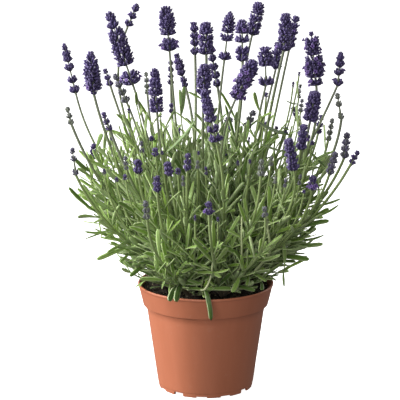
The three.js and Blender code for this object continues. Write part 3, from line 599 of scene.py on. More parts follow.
def scatteringTree():  # scatters blanks over a surface, each with its own turn, size and tint
    tree, given = newTree("scatterOnPeat", {
        "Blanks": "Collection", "Kinds": "Int", "Per Square Metre": "Float", "Smallest": "Float", "Largest": "Float",
        "Seed": "Int", "Material": "Material"})
    spots = addNode(tree, "GeometryNodeDistributePointsOnFaces", {},
                    {"Mesh": given["Geometry"], "Density": given["Per Square Metre"], "Seed": given["Seed"]})
    blanks = addNode(tree, "GeometryNodeCollectionInfo", {"Separate Children": True, "Reset Children": True},
                     {"Collection": given["Blanks"]})
    # Least and most of a random value: sockets 0 and 1 for a vector, 2 and 3 for a number, 4 and 5 for a whole one.
    which = addNode(tree, "FunctionNodeRandomValue", {"data_type": "INT"}, {5: given["Kinds"], "Seed": given["Seed"]})
    turn = addNode(tree, "FunctionNodeRandomValue", {
        "data_type": "FLOAT_VECTOR", 0: (-math.pi,) * 3, 1: (math.pi,) * 3, "Seed": 3})
    size = addNode(tree, "FunctionNodeRandomValue", {"data_type": "FLOAT", "Seed": 5},
                   {2: given["Smallest"], 3: given["Largest"]})
    shade = addNode(tree, "FunctionNodeRandomValue", {"data_type": "FLOAT", "Seed": 8})
    tilt = addNode(tree, "FunctionNodeEulerToRotation", {}, {"Euler": turn.outputs[0]})
    placed = addNode(tree, "GeometryNodeInstanceOnPoints", {"Pick Instance": True}, {
        "Points": spots, "Instance": blanks, "Instance Index": which.outputs[2], "Rotation": tilt,
        "Scale": size.outputs[1]})
    marked = addNode(tree, "GeometryNodeStoreNamedAttribute", {"domain": "INSTANCE", "Name": "tint"},
                     {"Geometry": placed, "Value": shade.outputs[1]})
    return endTree(tree, marked, given)


placeOnStems, sweepStems, scatterOnPeat = placingTree(), sweepingTree(), scatteringTree()
print("node trees built")


def newMaterial(name, finish, attributes=()):
    material = bpy.data.materials.new(name)
    material.use_nodes = True
    tree = material.node_tree
    for socket, value in finish.items():
        tree.nodes["Principled BSDF"].inputs[socket].default_value = value
    read = {name: addNode(tree, "ShaderNodeAttribute", {"attribute_name": name}).outputs for name in attributes}
    return material, tree, read, addNode(tree, "ShaderNodeTexCoord").outputs["Object"]


# Each layer is a colour or a node, what its share follows, from and to which value of that, and the most of it.
def paintOver(tree, ground, layers):
    for paint, source, low, high, most in layers:
        span = {"From Min": low, "From Max": high, "To Max": most}
        share = addNode(tree, "ShaderNodeMapRange", span, {"Value": source})
        mix = addNode(tree, "ShaderNodeMixRGB", {}, {"Fac": share})
        for socket, colour in (("Color1", ground), ("Color2", paint)):
            if isinstance(colour, str):
                mix.inputs[socket].default_value = linear(colour)
            else:
                tree.links.new(colour.outputs[0], mix.inputs[socket])
        ground = mix
    return ground


def finished(material, sources):  # joins the last nodes to the shader
    tree = material.node_tree
    for socket, node in sources.items():
        tree.links.new(node.outputs[0], tree.nodes["Principled BSDF"].inputs[socket])
    return material


def leafMaterial():
    # Lavender leaf: a waxy blade under grey felt, greener above, pale underneath and along its rolled edges. A leaf
    # whose age is below zero is darkened towards the deep green: painted shade.
    look = {"deep": "#1c320a", "old": "#3a5a10", "young": "#94b448", "grey": "#a0b676", "patch": "#688a38",
            "edge": "#d4e0ae", "under": "#b4c690", "rib": "#456620"}
    material, tree, read, where = newMaterial("feltedLavenderLeaf", {
        "Roughness": 0.5, "IOR": 1.45, "Sheen Weight": 0.12, "Sheen Roughness": 0.4, "Sheen Tint": linear("#e6ecd8"),
        "Subsurface Weight": 0.07, "Subsurface Radius": (0.4, 0.9, 0.2), "Subsurface Scale": 0.0015,
    }, ("age", "tint", "blankPlace", "bladeSide"))
    age, tint = read["age"]["Fac"], read["tint"]["Fac"]
    height = addNode(tree, "ShaderNodeSeparateXYZ", {}, {0: read["blankPlace"]["Vector"]}).outputs["Z"]
    side = addNode(tree, "ShaderNodeMath", {"operation": "ABSOLUTE"}, {0: read["bladeSide"]["Fac"]})
    patches = addNode(tree, "ShaderNodeTexNoise", {"Scale": 160.0, "Detail": 3.0}, {"Vector": where})  # 6 mm patches
    # The deep layer is painted shade: leaves of age below zero take on this dark green as if they lay in shadow.
    whole = paintOver(tree, look["old"], (
        (look["young"], age, 0, 1, 1), (look["deep"], age, 0, -1, 1), (look["grey"], tint, 0, 1, 0.7),
        (look["patch"], patches, 0.35, 0.7, 0.2), (look["edge"], side, 0.32, 0.5, 0.8),
        (look["rib"], side, 0.14, 0.02, 0.6), (look["under"], height, -0.12, -0.3, 0.75)))
    felt = addNode(tree, "ShaderNodeTexNoise", {"Scale": 1400.0, "Detail": 2.0}, {"Vector": where})  # 0.7 mm down
    bump = addNode(tree, "ShaderNodeBump", {"Strength": 0.25, "Distance": 0.0003}, {"Height": felt})
    return finished(material, {"Base Color": whole, "Normal": bump})


def stemMaterial():
    # Square lavender stem: waxy green under grey down, greyer and violet near the flowers, brown bark at the foot.
    look = {"low": "#829459", "high": "#6f7560", "young": "#cdd4a4", "bark": "#6b5a45", "barkDark": "#3d3226"}
    material, tree, read, where = newMaterial("downyLavenderStem", {
        "Roughness": 0.6, "IOR": 1.42, "Sheen Weight": 0.2, "Sheen Roughness": 0.5, "Sheen Tint": linear("#d9dfd0"),
    }, ("age", "wood"))
    age = read["age"]["Fac"]
    stretched = addNode(tree, "ShaderNodeMapping", {"Scale": (1.0, 1.0, 0.25)}, {"Vector": where})
    strands = addNode(tree, "ShaderNodeTexNoise", {"Scale": 900.0, "Detail": 4.0}, {"Vector": stretched})  # 1 mm bark
    bark = paintOver(tree, look["barkDark"], ((look["bark"], strands, 0, 1, 1),))
    whole = paintOver(tree, look["low"], (
        (look["high"], age, 0.4, 0.95, 1), (look["young"], age, 0, -1, 1), (bark, read["wood"]["Fac"], 0, 1, 1)))
    bump = addNode(tree, "ShaderNodeBump", {"Strength": 0.5, "Distance": 0.0004}, {"Height": strands})
    return finished(material, {"Base Color": whole, "Normal": bump})


def calyxMaterial():
    # Calyx: a ribbed tube under violet felt, green-grey while it is in bud and nearly navy when it is ripe.
    look = {"bud": "#858c76", "dark": "#332a4b", "ripe": "#4c4070", "tip": "#877ba6", "foot": "#5a5850"}
    material, tree, read, where = newMaterial("violetFeltCalyx", {
        "Roughness": 0.7, "IOR": 1.4, "Sheen Weight": 0.25, "Sheen Roughness": 0.45, "Sheen Tint": linear("#9a90c0"),
    }, ("age", "tint", "blankPlace"))
    along = addNode(tree, "ShaderNodeSeparateXYZ", {}, {0: read["blankPlace"]["Vector"]}).outputs["X"]
    whole = paintOver(tree, look["dark"], (
        (look["ripe"], read["tint"]["Fac"], 0, 1, 1), (look["tip"], along, 0.82, 1.05, 0.7),
        (look["foot"], along, 0.3, 0.05, 0.7), (look["bud"], read["age"]["Fac"], 1, 0, 1)))
    felt = addNode(tree, "ShaderNodeTexNoise", {"Scale": 1600.0, "Detail": 2.0}, {"Vector": where})  # 0.6 mm felt
    bump = addNode(tree, "ShaderNodeBump", {"Strength": 0.4, "Distance": 0.0003}, {"Height": felt})
    return finished(material, {"Base Color": whole, "Normal": bump})


def corollaMaterial():
    # Open flower: thin soft petals, bright violet with a darker throat.
    look = {"petal": "#644a8c", "pale": "#7e68a2", "throat": "#3a2858"}
    material, tree, read, _ = newMaterial("lavenderPetal", {
        "Roughness": 0.5, "IOR": 1.4, "Sheen Weight": 0.3, "Sheen Roughness": 0.4, "Sheen Tint": linear("#d8c8f0"),
        "Subsurface Weight": 0.15, "Subsurface Radius": (0.6, 0.3, 0.9), "Subsurface Scale": 0.001,
    }, ("tint", "blankPlace"))
    flat = addNode(tree, "ShaderNodeVectorMath", {"operation": "MULTIPLY", 1: (0.0, 1.0, 1.0)},
                   {0: read["blankPlace"]["Vector"]})
    radius = addNode(tree, "ShaderNodeVectorMath", {"operation": "LENGTH"}, {0: flat})
    whole = paintOver(tree, look["petal"], (
        (look["pale"], read["tint"]["Fac"], 0, 1, 1), (look["throat"], radius.outputs["Value"], 0.26, 0.08, 1)))
    return finished(material, {"Base Color": whole})


def potMaterial():
    # Injection-moulded polypropylene, coloured through: a satin skin with faint flow marks and fine handling scuffs.
    look = {"body": "#ab6649", "light": "#b46d50", "dust": "#b88d76"}
    material, tree, _, where = newMaterial("mouldedPolypropylene", {"IOR": 1.49})
    flow = addNode(tree, "ShaderNodeMapping", {"Scale": (1.0, 1.0, 0.12)}, {"Vector": where})
    # Flow marks of 22 mm, drawn out upwards, then a grain of 1 mm and scuffs of 6 mm.
    clouds = addNode(tree, "ShaderNodeTexNoise", {"Scale": 45.0, "Detail": 4.0, "Roughness": 0.55}, {"Vector": flow})
    grain = addNode(tree, "ShaderNodeTexNoise", {"Scale": 900.0, "Detail": 3.0}, {"Vector": where})
    scuffs = addNode(tree, "ShaderNodeTexNoise", {"Scale": 160.0, "Detail": 8.0, "Roughness": 0.75}, {"Vector": where})
    whole = paintOver(tree, look["body"], (
        (look["light"], clouds, 0.35, 0.68, 1), (look["dust"], scuffs, 0.58, 0.75, 0.22)))
    satin = addNode(tree, "ShaderNodeMapRange", {"From Min": 0.3, "From Max": 0.7, "To Min": 0.4, "To Max": 0.52},
                    {"Value": scuffs})
    bump = addNode(tree, "ShaderNodeBump", {"Strength": 0.12, "Distance": 0.0002}, {"Height": grain})
    return finished(material, {"Base Color": whole, "Roughness": satin, "Normal": bump})


def peatMaterial():
    # Damp peat compost: matt, nearly black crumbs with brown fibres.
    look = {"black": "#15110c", "brown": "#3a2c1f", "straw": "#7d7559"}
    material, tree, read, where = newMaterial("dampPeatCompost", {"Roughness": 0.92, "IOR": 1.4}, ("tint",))
    # Grains of 2 mm.
    grains = addNode(tree, "ShaderNodeTexNoise", {"Scale": 500.0, "Detail": 6.0, "Roughness": 0.7}, {"Vector": where})
    whole = paintOver(tree, look["black"], (
        (look["brown"], grains, 0.4, 0.72, 1), (look["straw"], read["tint"]["Fac"], 0.84, 0.94, 0.85)))
    bump = addNode(tree, "ShaderNodeBump", {"Strength": 0.8, "Distance": 0.0008}, {"Height": grains})
    return finished(material, {"Base Color": whole, "Normal": bump})


leafLook, stemLook, calyxLook, petalLook = leafMaterial(), stemMaterial(), calyxMaterial(), corollaMaterial()
potLook, peatLook = potMaterial(), peatMaterial()
print("materials built")


def softened(profile):  # a profile of (radius, height, rounding), each corner rounded over that reach
    made = [profile[0][:2]]
    for (r0, z0, _), (r1, z1, reach), (r2, z2, _) in zip(profile, profile[1:], profile[2:]):
        a, b, c = Vector((r0, z0)), Vector((r1, z1)), Vector((r2, z2))
        start = b + (a - b).normalized() * min(reach, 0.45 * (a - b).length)
        end = b + (c - b).normalized() * min(reach, 0.45 * (c - b).length)
        for t in (0, 0.25, 0.5, 0.75, 1):
            made.append(tuple(start * (1 - t) ** 2 + b * (2 * t * (1 - t)) + end * t * t))
    return made + [profile[-1][:2]]


def potInside(z):  # the radius of the pot's inside at a height
    if z <= pot["shoulderHeight"]:
        return pot["footRadius"] + (pot["shoulderRadius"] - pot["footRadius"]) * z / pot["shoulderHeight"] - pot["wall"]
    rise = pot["height"] - pot["lipHeight"] - pot["collarHeight"]
    outside = pot["collarRadius"] + (pot["collarTopRadius"] - pot["collarRadius"]) * (z - pot["collarHeight"]) / rise
    return outside - pot["wall"]


def turnedRings(profile, sides):
    spots = [(math.cos(math.tau * i / sides), math.sin(math.tau * i / sides)) for i in range(sides)]
    return [[(r * x, r * y, z) for x, y in spots] if r > 1e-6 else [(0, 0, z)] for r, z in profile]


def makePot():
    foot, top = pot["footRadius"], pot["height"]
    profile = [
        (0, 4, 0), (38.8, 4, 0.5), (foot - 1.7, 0, 0.4), (foot + 0.1, 0, 0.4), (foot + 0.6, 3.9, 0.25),
        (foot + 0.95, 4.3, 0.25), (51.9, 70.8, 2.4), (53.9, 75.7, 0.2), (55.4, 76.0, 0.25), (59.3, 92.4, 0.5),
        (60, 93.2, 0.6), (60, top, 0.7), (58.6, top, 0.5), (57.5, 92.6, 0.5), (53.6, 76.3, 1.2), (50.2, 71.4, 1.0),
        (potInside(6.2), 6.4, 0.8), (39.2, 5.5, 0.8), (0, 5.5, 0)]
    piece = loft("nurseryPot", turnedRings(softened(profile), pot["sides"]))
    cutter = bmesh.new()
    for i in range(pot["notches"]):
        angle = math.radians(pot["drainStart"]) + math.tau * i / pot["notches"]
        tall = i % pot["drainEvery"] == 0
        deep = pot["drainHeight"] if tall else pot["notchHeight"]
        middle = Vector((math.cos(angle), math.sin(angle), 0))
        for v in bmesh.ops.create_cube(cutter, size=1)["verts"]:
            across = Vector((-middle.y, middle.x, 0)) * (v.co.y * pot["notchWidth"])
            v.co = (middle * (foot + v.co.x * pot["cutLength"]) + across + up * (v.co.z * 2 * deep)) * mm
        if tall:
            hole = pot["holeRadius"] * mm
            tube = bmesh.ops.create_cone(cutter, cap_ends=True, segments=pot["holeSides"], radius1=hole, radius2=hole,
                                         depth=pot["holeLength"] * mm)
            for v in tube["verts"]:
                v.co += middle * (pot["holeCircle"] * mm)
    mesh = bpy.data.meshes.new("cutter")
    cutter.to_mesh(mesh)
    cutter.free()
    tool = bpy.data.objects.new("cutter", mesh)
    scene.collection.objects.link(tool)
    cut = piece.modifiers.new("notches", "BOOLEAN")
    cut.operation, cut.solver, cut.object = "DIFFERENCE", "EXACT", tool
    bare = takeMesh(piece, cut)
    bpy.data.objects.remove(tool)
    bpy.data.meshes.remove(mesh)
    bare.shade_smooth()
    bare.set_sharp_from_angle(angle=math.radians(pot["sharpAbove"]))
    bare.materials.clear()
    bare.materials.append(potLook)
    keep(piece, ["pot"])


makePot()

peat = {
    "level": 87, "lump": 1.3, "rise": 4.4, "rings": 34, "sides": 128, "rough": 0.9, "clear": 0.3,
    # the body under the surface: height, height at which the pot's inside is read, and how far it stays from it
    "bottom": 5.8, "body": ((5.8, 5.8, 1.2), (71.4, 70, 0.3), (76.3, 77, 0.7)),
    # crumbs and fibres: how many to a square metre, smallest and largest, and the seed
    "crumbs": (160000.0, 0.0007, 0.0028, 5), "fibres": (26000.0, 0.0006, 0.0015, 9), "within": 0.985,
    "crumbSeed": 71, "crumbStretch": (0.7, 1.15), "crumbFlat": 0.7,
    "fibreSteps": 6, "fibreLength": 6, "fibreRadius": 0.11, "fibreSags": (0.5, -0.9),
}


def peatHeight(x, y):
    clods = math.sin(0.31 * x + 1.7) * math.cos(0.27 * y - 0.6)
    waves = 0.6 * math.sin(0.13 * x - 0.19 * y + 2.1)
    out = math.hypot(x, y) / pot["rimRadius"]
    fine = noise.fractal(Vector((x, y, 7)) * 0.22, 0.9, 2.1, 5)
    return peat["level"] + peat["lump"] * (clods + waves) + peat["rise"] * out * out + peat["rough"] * fine


def peatRing(radius, height=None):  # a ring of points on the surface, or at a height
    turns = [math.tau * i / peat["sides"] for i in range(peat["sides"])]
    spots = [(radius * math.cos(turn), radius * math.sin(turn)) for turn in turns]
    return [(x, y, peatHeight(x, y) if height is None else height) for x, y in spots]


def peatSurface(share):  # rings from the wall to the middle
    outer = potInside(peat["level"] - 3) - peat["clear"]
    rings = [peatRing(outer * k / peat["rings"] * share) for k in range(peat["rings"], 0, -1)]
    return rings + [[(0, 0, peatHeight(0, 0))]]


def makePeat():
    body = [peatRing(potInside(read) - away, height) for height, read, away in peat["body"]]
    piece = loft("peatCompost", [[(0, 0, peat["bottom"])]] + body + peatSurface(1))
    piece.data.materials.append(peatLook)
    keep(piece, ["soil"])
    crumbs, fibres = [bpy.data.collections.new(name) for name in ("crumbBlanks", "fibreBlanks")]
    draw = draws(peat["crumbSeed"])
    for i in range(3):
        rough = bmesh.new()
        bmesh.ops.create_icosphere(rough, subdivisions=1, radius=0.5)
        for v in rough.verts:
            v.co *= between(peat["crumbStretch"], draw())
            v.co.z *= peat["crumbFlat"]
        mesh = bpy.data.meshes.new(f"crumb{i}")
        rough.to_mesh(mesh)
        rough.free()
        crumbs.objects.link(bpy.data.objects.new(mesh.name, mesh))
    for i, sag in enumerate(peat["fibreSags"]):
        rings = []
        for k in range(peat["fibreSteps"] + 1):
            t = k / peat["fibreSteps"]
            x, y, z = peat["fibreLength"] * (t - 0.5), sag * math.sin(4 * t), 0.5 * math.sin(3 * t)
            rings.append([(x, y + peat["fibreRadius"] * math.cos(a), z + peat["fibreRadius"] * math.sin(a))
                          for a in (0, math.tau / 4, math.tau / 2, math.tau * 0.75)])
        fibre = loft(f"fibre{i}", rings)
        fibre.data.transform(Matrix.Scale(1 / mm, 4))
        scene.collection.objects.unlink(fibre)
        fibres.objects.link(fibre)
    points, numbers = numbered(peatSurface(peat["within"]))
    for name, blanks, kinds, rule in (("peatCrumbs", crumbs, 2, "crumbs"), ("peatFibres", fibres, 1, "fibres")):
        density, smallest, largest, seed = peat[rule]
        top = newPiece(name, points, [], ringFaces(numbers))
        grow(top, scatterOnPeat, {
            "Blanks": blanks, "Kinds": kinds, "Per Square Metre": density, "Smallest": smallest, "Largest": largest,
            "Seed": seed, "Material": peatLook})
        keep(top)


makePeat()
print("pot and peat built")

stemSize = {  # radii at the foot and at the end of each kind of stem
    "flower": (1.4, 1.2), "shoot": (0.9, 0.6), "tall": (1.1, 0.7), "small": (0.95, 0.8), "inSpike": 0.4,
    "flowerSteps": 26, "shootSteps": 14, "spikeSteps": 5, "spareTip": 4, "shortest": 1.5,
    "woodLength": 26, "woodExtra": 0.9, "woodShare": 1.6, "greyAbove": 232, "lowAge": 0.5, "shootAge": 0.3,
    "trunkSteps": 8, "trunkHeights": (70, 100.5), "trunkRadius": (3.1, 2.4), "trunkSway": 0.5,
    "ribs": 4, "groove": 0.8, "spraySteps": 4,
}


def smoothPath(points, steps):  # a Catmull-Rom curve through points
    points = [Vector(point) for point in points]
    held = [2 * points[0] - points[1]] + points + [2 * points[-1] - points[-2]]
    path = []
    for a, b, c, d in zip(held, held[1:], held[2:], held[3:]):
        for k in range(steps):
            t = k / steps
            path.append(0.5 * (2 * b + (c - a) * t + (2 * a - 5 * b + 4 * c - d) * t * t
                               + (3 * b - a - 3 * c + d) * t ** 3))
    return path + [points[-1]]


def stemSpots(stem):  # the stem's line as point, radius, age and share of wood
    curve, size, spots = stem["curve"], stemSize[stem["kind"]], []
    length = curveLength(curve)
    steps = stemSize["flowerSteps" if stem["spike"] else "shootSteps"]
    oldest = 1 if curve[3].z > stemSize["greyAbove"] else stemSize["lowAge"]
    for k in range(steps + 1):
        t = k / steps
        wood = max(0.0, 1 - t * length / stemSize["woodLength"])
        age = t * oldest if stem["kind"] == "flower" else stemSize["shootAge"] * t
        radius = between(size, t) + stemSize["woodExtra"] * wood
        spots.append((curvePoint(curve, t), radius, age, min(1.0, stemSize["woodShare"] * wood)))
    if stem["spike"]:
        last = stemSize["spikeSteps"]
        tall = max(stemSize["shortest"], stem["spike"][2] - stemSize["spareTip"])
        for k in range(1, last + 1):
            radius = between((size[1], stemSize["inSpike"]), k / last)
            spots.append((curve[3] + stem["direction"] * (gap + tall * k / last), radius, 1.0, 0.0))
    return spots


def makeStems(branch, own):
    draw, trunkSpots = draws(31 + branch), []
    for k in range(stemSize["trunkSteps"] + 1):
        t = k / stemSize["trunkSteps"]
        sway = Vector((draw() - 0.5, draw() - 0.5, 0)) * stemSize["trunkSway"]
        point = feet[branch] + sway + up * between(stemSize["trunkHeights"], t)
        trunkSpots.append((point, between(stemSize["trunkRadius"], t), 0.0, 1.0))
    lines = [trunkSpots] + [stemSpots(stem) for stem in own]
    for points, size, age in sprays:
        if branchOf(*points[-1][:2]) == branch:
            path = smoothPath(points, stemSize["spraySteps"])
            last = len(path) - 1
            lines.append([(point, between(size, k / last), age, 0.0) for k, point in enumerate(path)])
    spots, edges = [], []
    for line in lines:
        edges += [(len(spots) + i, len(spots) + i + 1) for i in range(len(line) - 1)]
        spots += line
    piece = newPiece(f"branch{branch + 1}Stems", [spot[0] for spot in spots], edges, [])
    mark(piece.data, "stemRadius", "FLOAT", [spot[1] * mm for spot in spots])
    mark(piece.data, "age", "FLOAT", [spot[2] for spot in spots])
    mark(piece.data, "wood", "FLOAT", [spot[3] for spot in spots])
    grow(piece, sweepStems, {"Ribs": stemSize["ribs"], "Groove": stemSize["groove"], "Material": stemLook})
    keep(piece, [f"branch_{branch + 1}"])


def plant(name, sprigs, blanks, look):  # a piece with a blank grown on every sprig
    piece = newPiece(name, [sprig["root"] for sprig in sprigs], [], [])
    for field, kind in sprigFields.items():
        mark(piece.data, field, kind, [sprig.get(field, 0) for sprig in sprigs])
    grow(piece, placeOnStems, {"Blanks": blanks, "Width": 1.0, "Thickness": 1.0, "Material": look})
    return piece


bladeRule = {
    "width": 4.1, "usual": 34, "thickness": 1.15, "spread": (0.8, 1.2), "twist": 1.2, "roll": 2.0, "turn": 0.5,
    # a leaf's age by its place on the stem, and the painted shade near the bush's axis: how much age is taken off
    # there, so that those leaves turn deep green
    "age": (0.15, 0.6, 0.3), "shade": 1.2, "shadeWithin": 62,
    # tufts of young leaves in the axils
    "tuftShare": 0.4, "tuftLeaves": 2, "tuft": (9, 18), "tuftOpen": (12, 40), "tuftTurn": 1.6, "tuftBend": 0.5,
    "tuftSeat": 0.5, "tuftAge": 0.3,
    "tallPitch": 1.8, "highest": (214, 284), "spare": 11, "overRim": 1,
    # how far out leaves reach, by height
    "edge": ((98, 60), (113, 68), (126, 92), (146, 104), (175, 116), (215, 118), (280, 104)),
    # the leaves that are placed one by one: how height and depth count for the nearest stem, and where they face
    "heightWeight": 2.5, "depthWeight": 0.08, "facing": (0.1, -0.8, 0.5), "facingShare": 0.75,
}


def leafSprig(root, stemWay, out, opened, length, bend, draw, age):  # a leaf that opens outwards from its stem
    along = stemWay * math.cos(opened) + out * math.sin(opened)
    upward = (stemWay - along * stemWay.dot(along)).normalized()
    width = bladeRule["width"] * (length / bladeRule["usual"]) ** 0.5 * between(bladeRule["spread"], draw())
    return {
        "root": root, "growAlong": along, "growUp": upward,
        "growSize": (length * mm, width * mm, bladeRule["thickness"] * mm), "growBend": bend,
        "growTwist": (draw() - 0.5) * bladeRule["twist"], "growRoll": (draw() - 0.5) * bladeRule["roll"],
        "growKind": int(draw() * 3) % 3, "tint": draw(), "age": age}


def staysInside(sprig, chance, spare):  # whether a leaf's tip is inside the bush's outline; few leaves reach its top
    way = sprig["growAlong"] - sprig["growUp"] * (0.5 * sprig["growBend"])
    tip = sprig["root"] + way * (sprig["growSize"][0] / mm)
    if tip.z > between(bladeRule["highest"], chance) or tip.z <= pot["height"] + bladeRule["overRim"]:
        return False
    return math.hypot(tip.x, tip.y) < spare + tableAt(bladeRule["edge"], tip.z)


def leavesOf(stem):
    draw, own = draws(stem["seed"]), draws(stem["seed"] + 300)
    curve = stem["curve"]
    length = curveLength(curve)
    leafy = {"flower": min(leafRule["leafyShare"] * length, leafRule["leafyMost"]),
             "small": leafRule["smallShare"] * length}.get(stem["kind"], length)
    first, gain, chance = bladeRule["age"]
    sprigs, s, quarter = [], leafRule["firstPair"], 0.0
    while s < leafy:
        axis, along = curvePoint(curve, s / length), curveTangent(curve, s / length)
        for side in (0, math.pi):
            out = rotated(along, 1, side + quarter + bladeRule["turn"] * (draw() - 0.5))
            opened = math.radians(between(leafRule["open"], draw()))
            usual = between(leafRule["onStem" if stem["spike"] else "onShoot"], s / leafy)
            size = usual * between(leafRule["size"], draw())
            arch = math.radians(between(leafRule["arch"], draw()))
            # Painted shade: leaves near the bush's axis lose age, which darkens them towards the deep green.
            inner = max(0, 1 - math.hypot(axis.x, axis.y) / bladeRule["shadeWithin"])
            age = min(1.0, first + gain * s / leafy + chance * (own() - 0.5)) - bladeRule["shade"] * inner
            sprigs.append(leafSprig(axis + out * leafRule["seat"], along, out, opened, size, arch, own, age))
            if own() < bladeRule["tuftShare"]:
                for _ in range(bladeRule["tuftLeaves"]):
                    opened = math.radians(between(bladeRule["tuftOpen"], own()))
                    aside = rotated(along, 1, side + quarter + bladeRule["tuftTurn"] * (own() - 0.5))
                    size, bend = between(bladeRule["tuft"], own()), bladeRule["tuftBend"] * own()
                    root, younger = axis + aside * bladeRule["tuftSeat"], min(1.0, age + bladeRule["tuftAge"])
                    sprigs.append(leafSprig(root, along, aside, opened, size, bend, own, younger))
        quarter += math.pi / 2
        s += between(leafRule["pairPitch"], draw()) * (bladeRule["tallPitch"] if stem["kind"] == "tall" else 1)
    spare = bladeRule["spare"] if 100 < stem["seed"] < 200 else 0  # the solids' own shoots keep their leaves
    return [sprig for sprig in sprigs if staysInside(sprig, own(), spare)]


def makeLeaves(branch, own):
    sprigs = [sprig for stem in own for sprig in leavesOf(stem)]
    keep(plant(f"branch{branch + 1}Leaves", sprigs, leafBlanks, leafLook), [f"branch_{branch + 1}"])


stemPoints = [curvePoint(stem["curve"], k / 40) for stem in stems for k in range(2, 41)]
stemPoints += [point for points, _, _ in sprays for point in smoothPath(points, stemSize["spraySteps"])]


def outerSprig(root, tip, bend, width, age, tint, kind):  # a leaf from the nearest stem to a given tip
    root, tip = Vector(root), Vector(tip)
    near = min(stemPoints, key=lambda p: (
        (p.x - root.x) ** 2 + bladeRule["heightWeight"] * (p.z - root.z) ** 2
        + bladeRule["depthWeight"] * (p.y - root.y) ** 2))
    swing = list(leafBlades.values())[kind][1] * width
    half = math.radians(bend) / 2
    aim = tip
    for _ in range(2):  # the second time it is aimed beside the tip, because the blade swings sideways
        chord = aim - near
        ahead = chord.normalized()
        above = (up - ahead * ahead.dot(up)).normalized()
        along = ahead * math.cos(half) + above * math.sin(half)
        upward = above * math.cos(half) - ahead * math.sin(half)
        side = upward.cross(along)
        aim = tip - side * swing
    facing = Vector(bladeRule["facing"])
    roll = bladeRule["facingShare"] * math.atan2(-facing.dot(side), facing.dot(upward))
    return {
        "root": near, "growAlong": along, "growUp": upward,
        "growSize": (chord.length * mm, width * mm, bladeRule["thickness"] * mm),
        "growBend": math.radians(bend), "growTwist": 0.0, "growRoll": roll, "growKind": kind, "tint": tint, "age": age}


def makeOuterLeaves():
    keep(plant("outerLeaves", [outerSprig(*row) for row in placedLeaves], leafBlanks, leafLook))


def makeRimLeaf():
    # The rim leaf's age below zero is painted shade: it darkens the leaf towards the deep green.
    look = {"width": 4.2, "thickness": 0.9, "widths": (0.25, 0.5, 0.72, 0.9, 1, 1, 0.95, 0.7), "steps": 4,
            "tint": 0.1, "age": -0.5}
    path = smoothPath(rimLeaf, look["steps"])
    last = len(path) - 1
    rings, places = [], []
    for k, point in enumerate(path[:-1]):
        along = (path[k + 1] - path[max(0, k - 1)]).normalized()
        side = Vector((1, 0, 0))
        side = (side - along * side.dot(along)).normalized()
        above = along.cross(side)
        share = k / last * (len(look["widths"]) - 1)
        wide = between(look["widths"][int(share):int(share) + 2], share % 1)
        rings.append([point + side * (y * wide * look["width"]) + above * (z * look["thickness"] * math.sqrt(wide))
                      for y, z in reversed(leafSection)])
        places += [(k / last, y, z) for y, z in reversed(leafSection)]
    piece = loft("rimLeaf", rings + [[path[-1]]])
    places.append((1, 0, 0))
    mark(piece.data, "blankPlace", "FLOAT_VECTOR", places)
    mark(piece.data, "bladeSide", "FLOAT", [place[1] for place in places])
    for name in ("tint", "age"):
        mark(piece.data, name, "FLOAT", [look[name]] * len(places))
    piece.data.materials.append(leafLook)
    keep(piece)


spikeRule = {
    "pitch": 6.6, "calyx": 6.4, "shortest": 2.2, "slim": 0.33, "sag": -0.25, "counts": (4.6, 0.8), "smaller": 0.86,
    # how far the calyces draw together on two sides, in a whorl that stands free and in a close one
    "pinch": 0.42, "closePinch": 0.12, "freeAbove": 8, "lastRow": 6,
    # how a whorl is turned, by spike and by row, and how its calyces vary
    "turnBySpike": 0.1, "turnByRow": 0.5, "aside": 0.4, "lean": 16, "reach": (0.84, 1.06), "lift": (0.85, 1.1),
    "ripeSpread": 0.3,
    # each tier of a whorl: degrees from the stalk, share of the radius, and height in whorls
    "loose": ((72, 1.0, 0.36), (52, 1.0, 0.7), (30, 0.7, 1.05)),
    "dense": ((80, 1.0, 0.26), (66, 1.04, 0.6), (50, 0.96, 0.98)),
    "crown": ((72, 1.0, 0.36), (54, 0.94, 0.84), (30, 0.6, 1.3)),
    "tight": ((62, 1.0, 0.26), (46, 1.0, 0.5), (24, 0.72, 0.82)),
    "tightCrown": ((50, 1.0, 0.36), (32, 0.85, 0.72), (14, 0.5, 1.1)), "tightRadius": 5.7,
    "openFlowers": 0.008, "flower": (4.2, 4.0, 4.0), "flowerSeat": 1.6, "flowerLift": 0.3,
    "bract": (1, 0.8), "bractThick": 0.5, "bractLongest": 3.4, "bractShare": 0.55, "bractRipe": 0.45,
    "tuftWide": 8, "tuftOut": 0.25, "tuftSeat": 0.9, "tuftStep": 0.3, "tuftLongest": 4.6, "tuftShare": 0.55,
}
